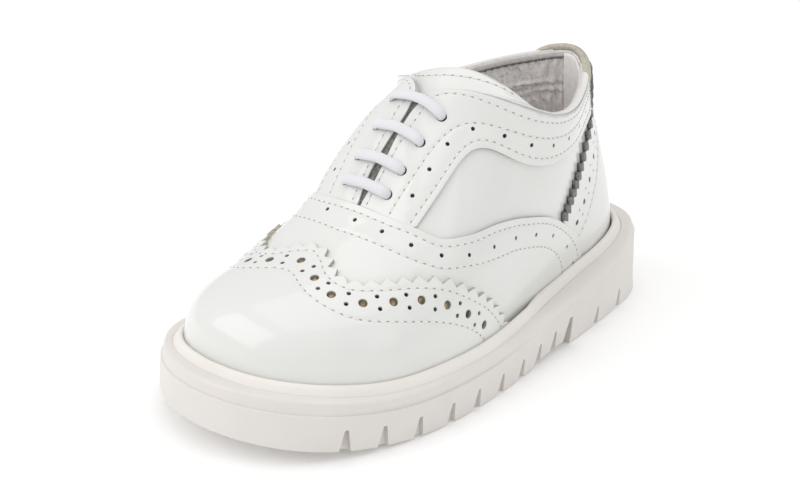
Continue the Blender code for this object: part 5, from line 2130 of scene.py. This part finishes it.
    def bead(self) -> None:
        """Rounded bead on the sole's ledge, against the foot of the upper."""
        u = np.linspace(0.0, 2.0, 420, endpoint=False) + self.bead_start
        near = self.bead_ring(u, -self.bead_under, self.near_end)
        far = self.bead_ring(u, WELT_WIDTH + self.bead_over, self.far_end)
        rings = []
        for share, height in BEAD_PROFILE:
            plan = near + (far - near) * share
            rings.append(np.column_stack([plan, rim_height(plan[:, 1]) + height]))
        faces = grid_faces(len(BEAD_PROFILE), len(u), True, True)
        made = new_piece("welt_bead", np.concatenate(rings), faces, [self.use.bead], "welt", ["welt"])
        face_outwards(made.data)

    def insole(self) -> None:
        """Insole inside the wall: a plate whose top is slightly dished, covered with lining leather."""
        u = np.linspace(0.0, 2.0, 2 * self.insole_half_points, endpoint=False)
        foot = self.form.surface(u, 0.0)
        step = np.roll(foot, -1, 0) - np.roll(foot, 1, 0)
        inward = unit(np.stack([-step[:, 1], step[:, 0], 0.0 * u], -1))
        rings = []
        for inset, level in INSOLE_PROFILE:
            rim = foot + inward * (self.insole_inset + inset)
            z = shoulder_height(rim[:, 1]) - LEDGE_DEPTH + 2.0 * GAP + level
            rings.append(np.column_stack([rim[:, :2], z]))
        faces = capped_rings(len(rings), self.insole_half_points)
        made = new_piece("insole_sock", np.concatenate(rings), faces, [self.use.grip], "insole", ["insole"])
        face_outwards(made.data)

    def build(self) -> None:
        """Build every piece of the sole."""
        self.body()
        self.bead()
        self.insole()


@dataclass(frozen=True)
class SoftBox:
    """A soft rectangular lamp, in metres and watts."""

    name: str
    place: Triple
    size: Span
    power: float

    def build(self, aim: Triple) -> None:
        """Hang the lamp so that it looks at a place."""
        data = bpy.data.lights.new(self.name, "AREA")
        data.shape = "RECTANGLE"
        data.size, data.size_y = self.size
        data.energy = self.power
        made = bpy.data.objects.new(self.name, data)
        made.location = self.place
        made.rotation_mode = "QUATERNION"
        made.rotation_quaternion = (Vector(aim) - Vector(self.place)).to_track_quat("-Z", "Y")
        bpy.context.scene.collection.objects.link(made)


@dataclass
class Studio:
    """Pale floor, soft light and the camera at the photograph's angle.

    The camera's angles are degrees and its lengths millimetres; the focal length counts in pixels of a
    picture as wide as frame_width. Floor and lamps are in metres.
    """

    azimuth: float = 40.688
    elevation: float = 21.726
    roll: float = 2.09
    distance: float = 332.84
    target: Triple = (-10.69, -1.7, 24.83)
    focal: float = 1218.4
    frame_width: float = 800.0
    sensor: float = 36.0
    floor_size: float = 6.0
    floor_points: int = 9
    floor_height: float = -0.0002
    surroundings: float = 0.72
    lamp_aim: Triple = (0.0, 0.0, 0.03)
    lamps: tuple[SoftBox, ...] = (SoftBox("key_box", (-0.55, -1.1, 1.0), (1.6, 1.2), 8.0),
                                  SoftBox("top_box", (0.1, 0.2, 1.4), (1.6, 1.6), 6.0),
                                  SoftBox("side_strip", (1.3, 0.1, 0.7), (0.5, 0.9), 0.8))

    def camera(self) -> None:
        """Camera with the photograph's eye, turned until the one shoe stands in the middle."""
        a, e, r = (math.radians(x) for x in (self.azimuth, self.elevation, self.roll))
        back = Vector((math.sin(a) * math.cos(e), -math.cos(a) * math.cos(e), math.sin(e)))
        level = Vector((math.cos(a), math.sin(a), 0.0))
        rise = back.cross(level)
        right = level * math.cos(r) + rise * math.sin(r)
        up = rise * math.cos(r) - level * math.sin(r)
        eye = Vector(self.target) + back * self.distance
        data = bpy.data.cameras.new("photo_camera")
        data.sensor_width = self.sensor
        data.lens = self.sensor * self.focal / self.frame_width
        data.clip_start = 0.01
        data.clip_end = 50.0
        made = bpy.data.objects.new("photo_camera", data)
        turn = Matrix((right, up, back)).transposed().to_4x4()
        made.matrix_world = Matrix.Translation(eye * MM) @ turn
        bpy.context.scene.collection.objects.link(made)
        bpy.context.scene.camera = made

    def floor(self) -> None:
        """Plain pale floor: a flat grid far wider than the view."""
        side = np.linspace(-self.floor_size / 2.0, self.floor_size / 2.0, self.floor_points)
        x, y = np.meshgrid(side, side)
        mesh = bpy.data.meshes.new("floor")
        points = np.stack([x.ravel(), y.ravel(), np.full(x.size, self.floor_height)], -1)
        mesh.from_pydata(points.tolist(), [], grid_faces(self.floor_points, self.floor_points).tolist())
        n = Nodes("pale_floor")
        n.set(Base_Color=(0.92, 0.92, 0.915, 1.0), Roughness=0.7, Emission_Color=(1.0, 1.0, 1.0, 1.0),
              Emission_Strength=0.1)
        mesh.materials.append(n.material)
        made = bpy.data.objects.new("floor", mesh)
        bpy.context.scene.collection.objects.link(made)

    def light(self) -> None:
        """White surroundings with a large key from the upper left and a strip from the right."""
        world = bpy.data.worlds.new("white_studio")
        world.use_nodes = True
        shade = world.node_tree.nodes["Background"]
        shade.inputs["Color"].default_value = (1.0, 1.0, 1.0, 1.0)
        shade.inputs["Strength"].default_value = self.surroundings
        bpy.context.scene.world = world
        bpy.context.scene.view_settings.view_transform = "Standard"
        for lamp in self.lamps:
            lamp.build(self.lamp_aim)

    def build(self) -> None:
        """Build the set."""
        self.floor()
        self.light()
        self.camera()


def main() -> None:
    """Build the studio and the shoe."""
    logging.basicConfig(level=logging.INFO, format="%(name)s: %(message)s")
    form = Form()
    use = Finishes()
    chart = Chart(form)
    plugs: list[Plug] = []
    works = [Studio(), Sole(form, use), Shell(form, use), WingTip(chart, use, plugs), Vamp(chart, use, plugs)]
    works += [Facing(chart, use, plugs, side=side) for side in Side]
    works += [Counter(chart, use, plugs), CounterTape(chart, use), HoleShadeAndBronze(plugs, use), Lining(form, use),
              Topline(form, use), HeelTab(form, use), Tongue(chart, use), Laces(form, use)]
    for work in works:
        work.build()


if __name__ == "__main__":
    main()
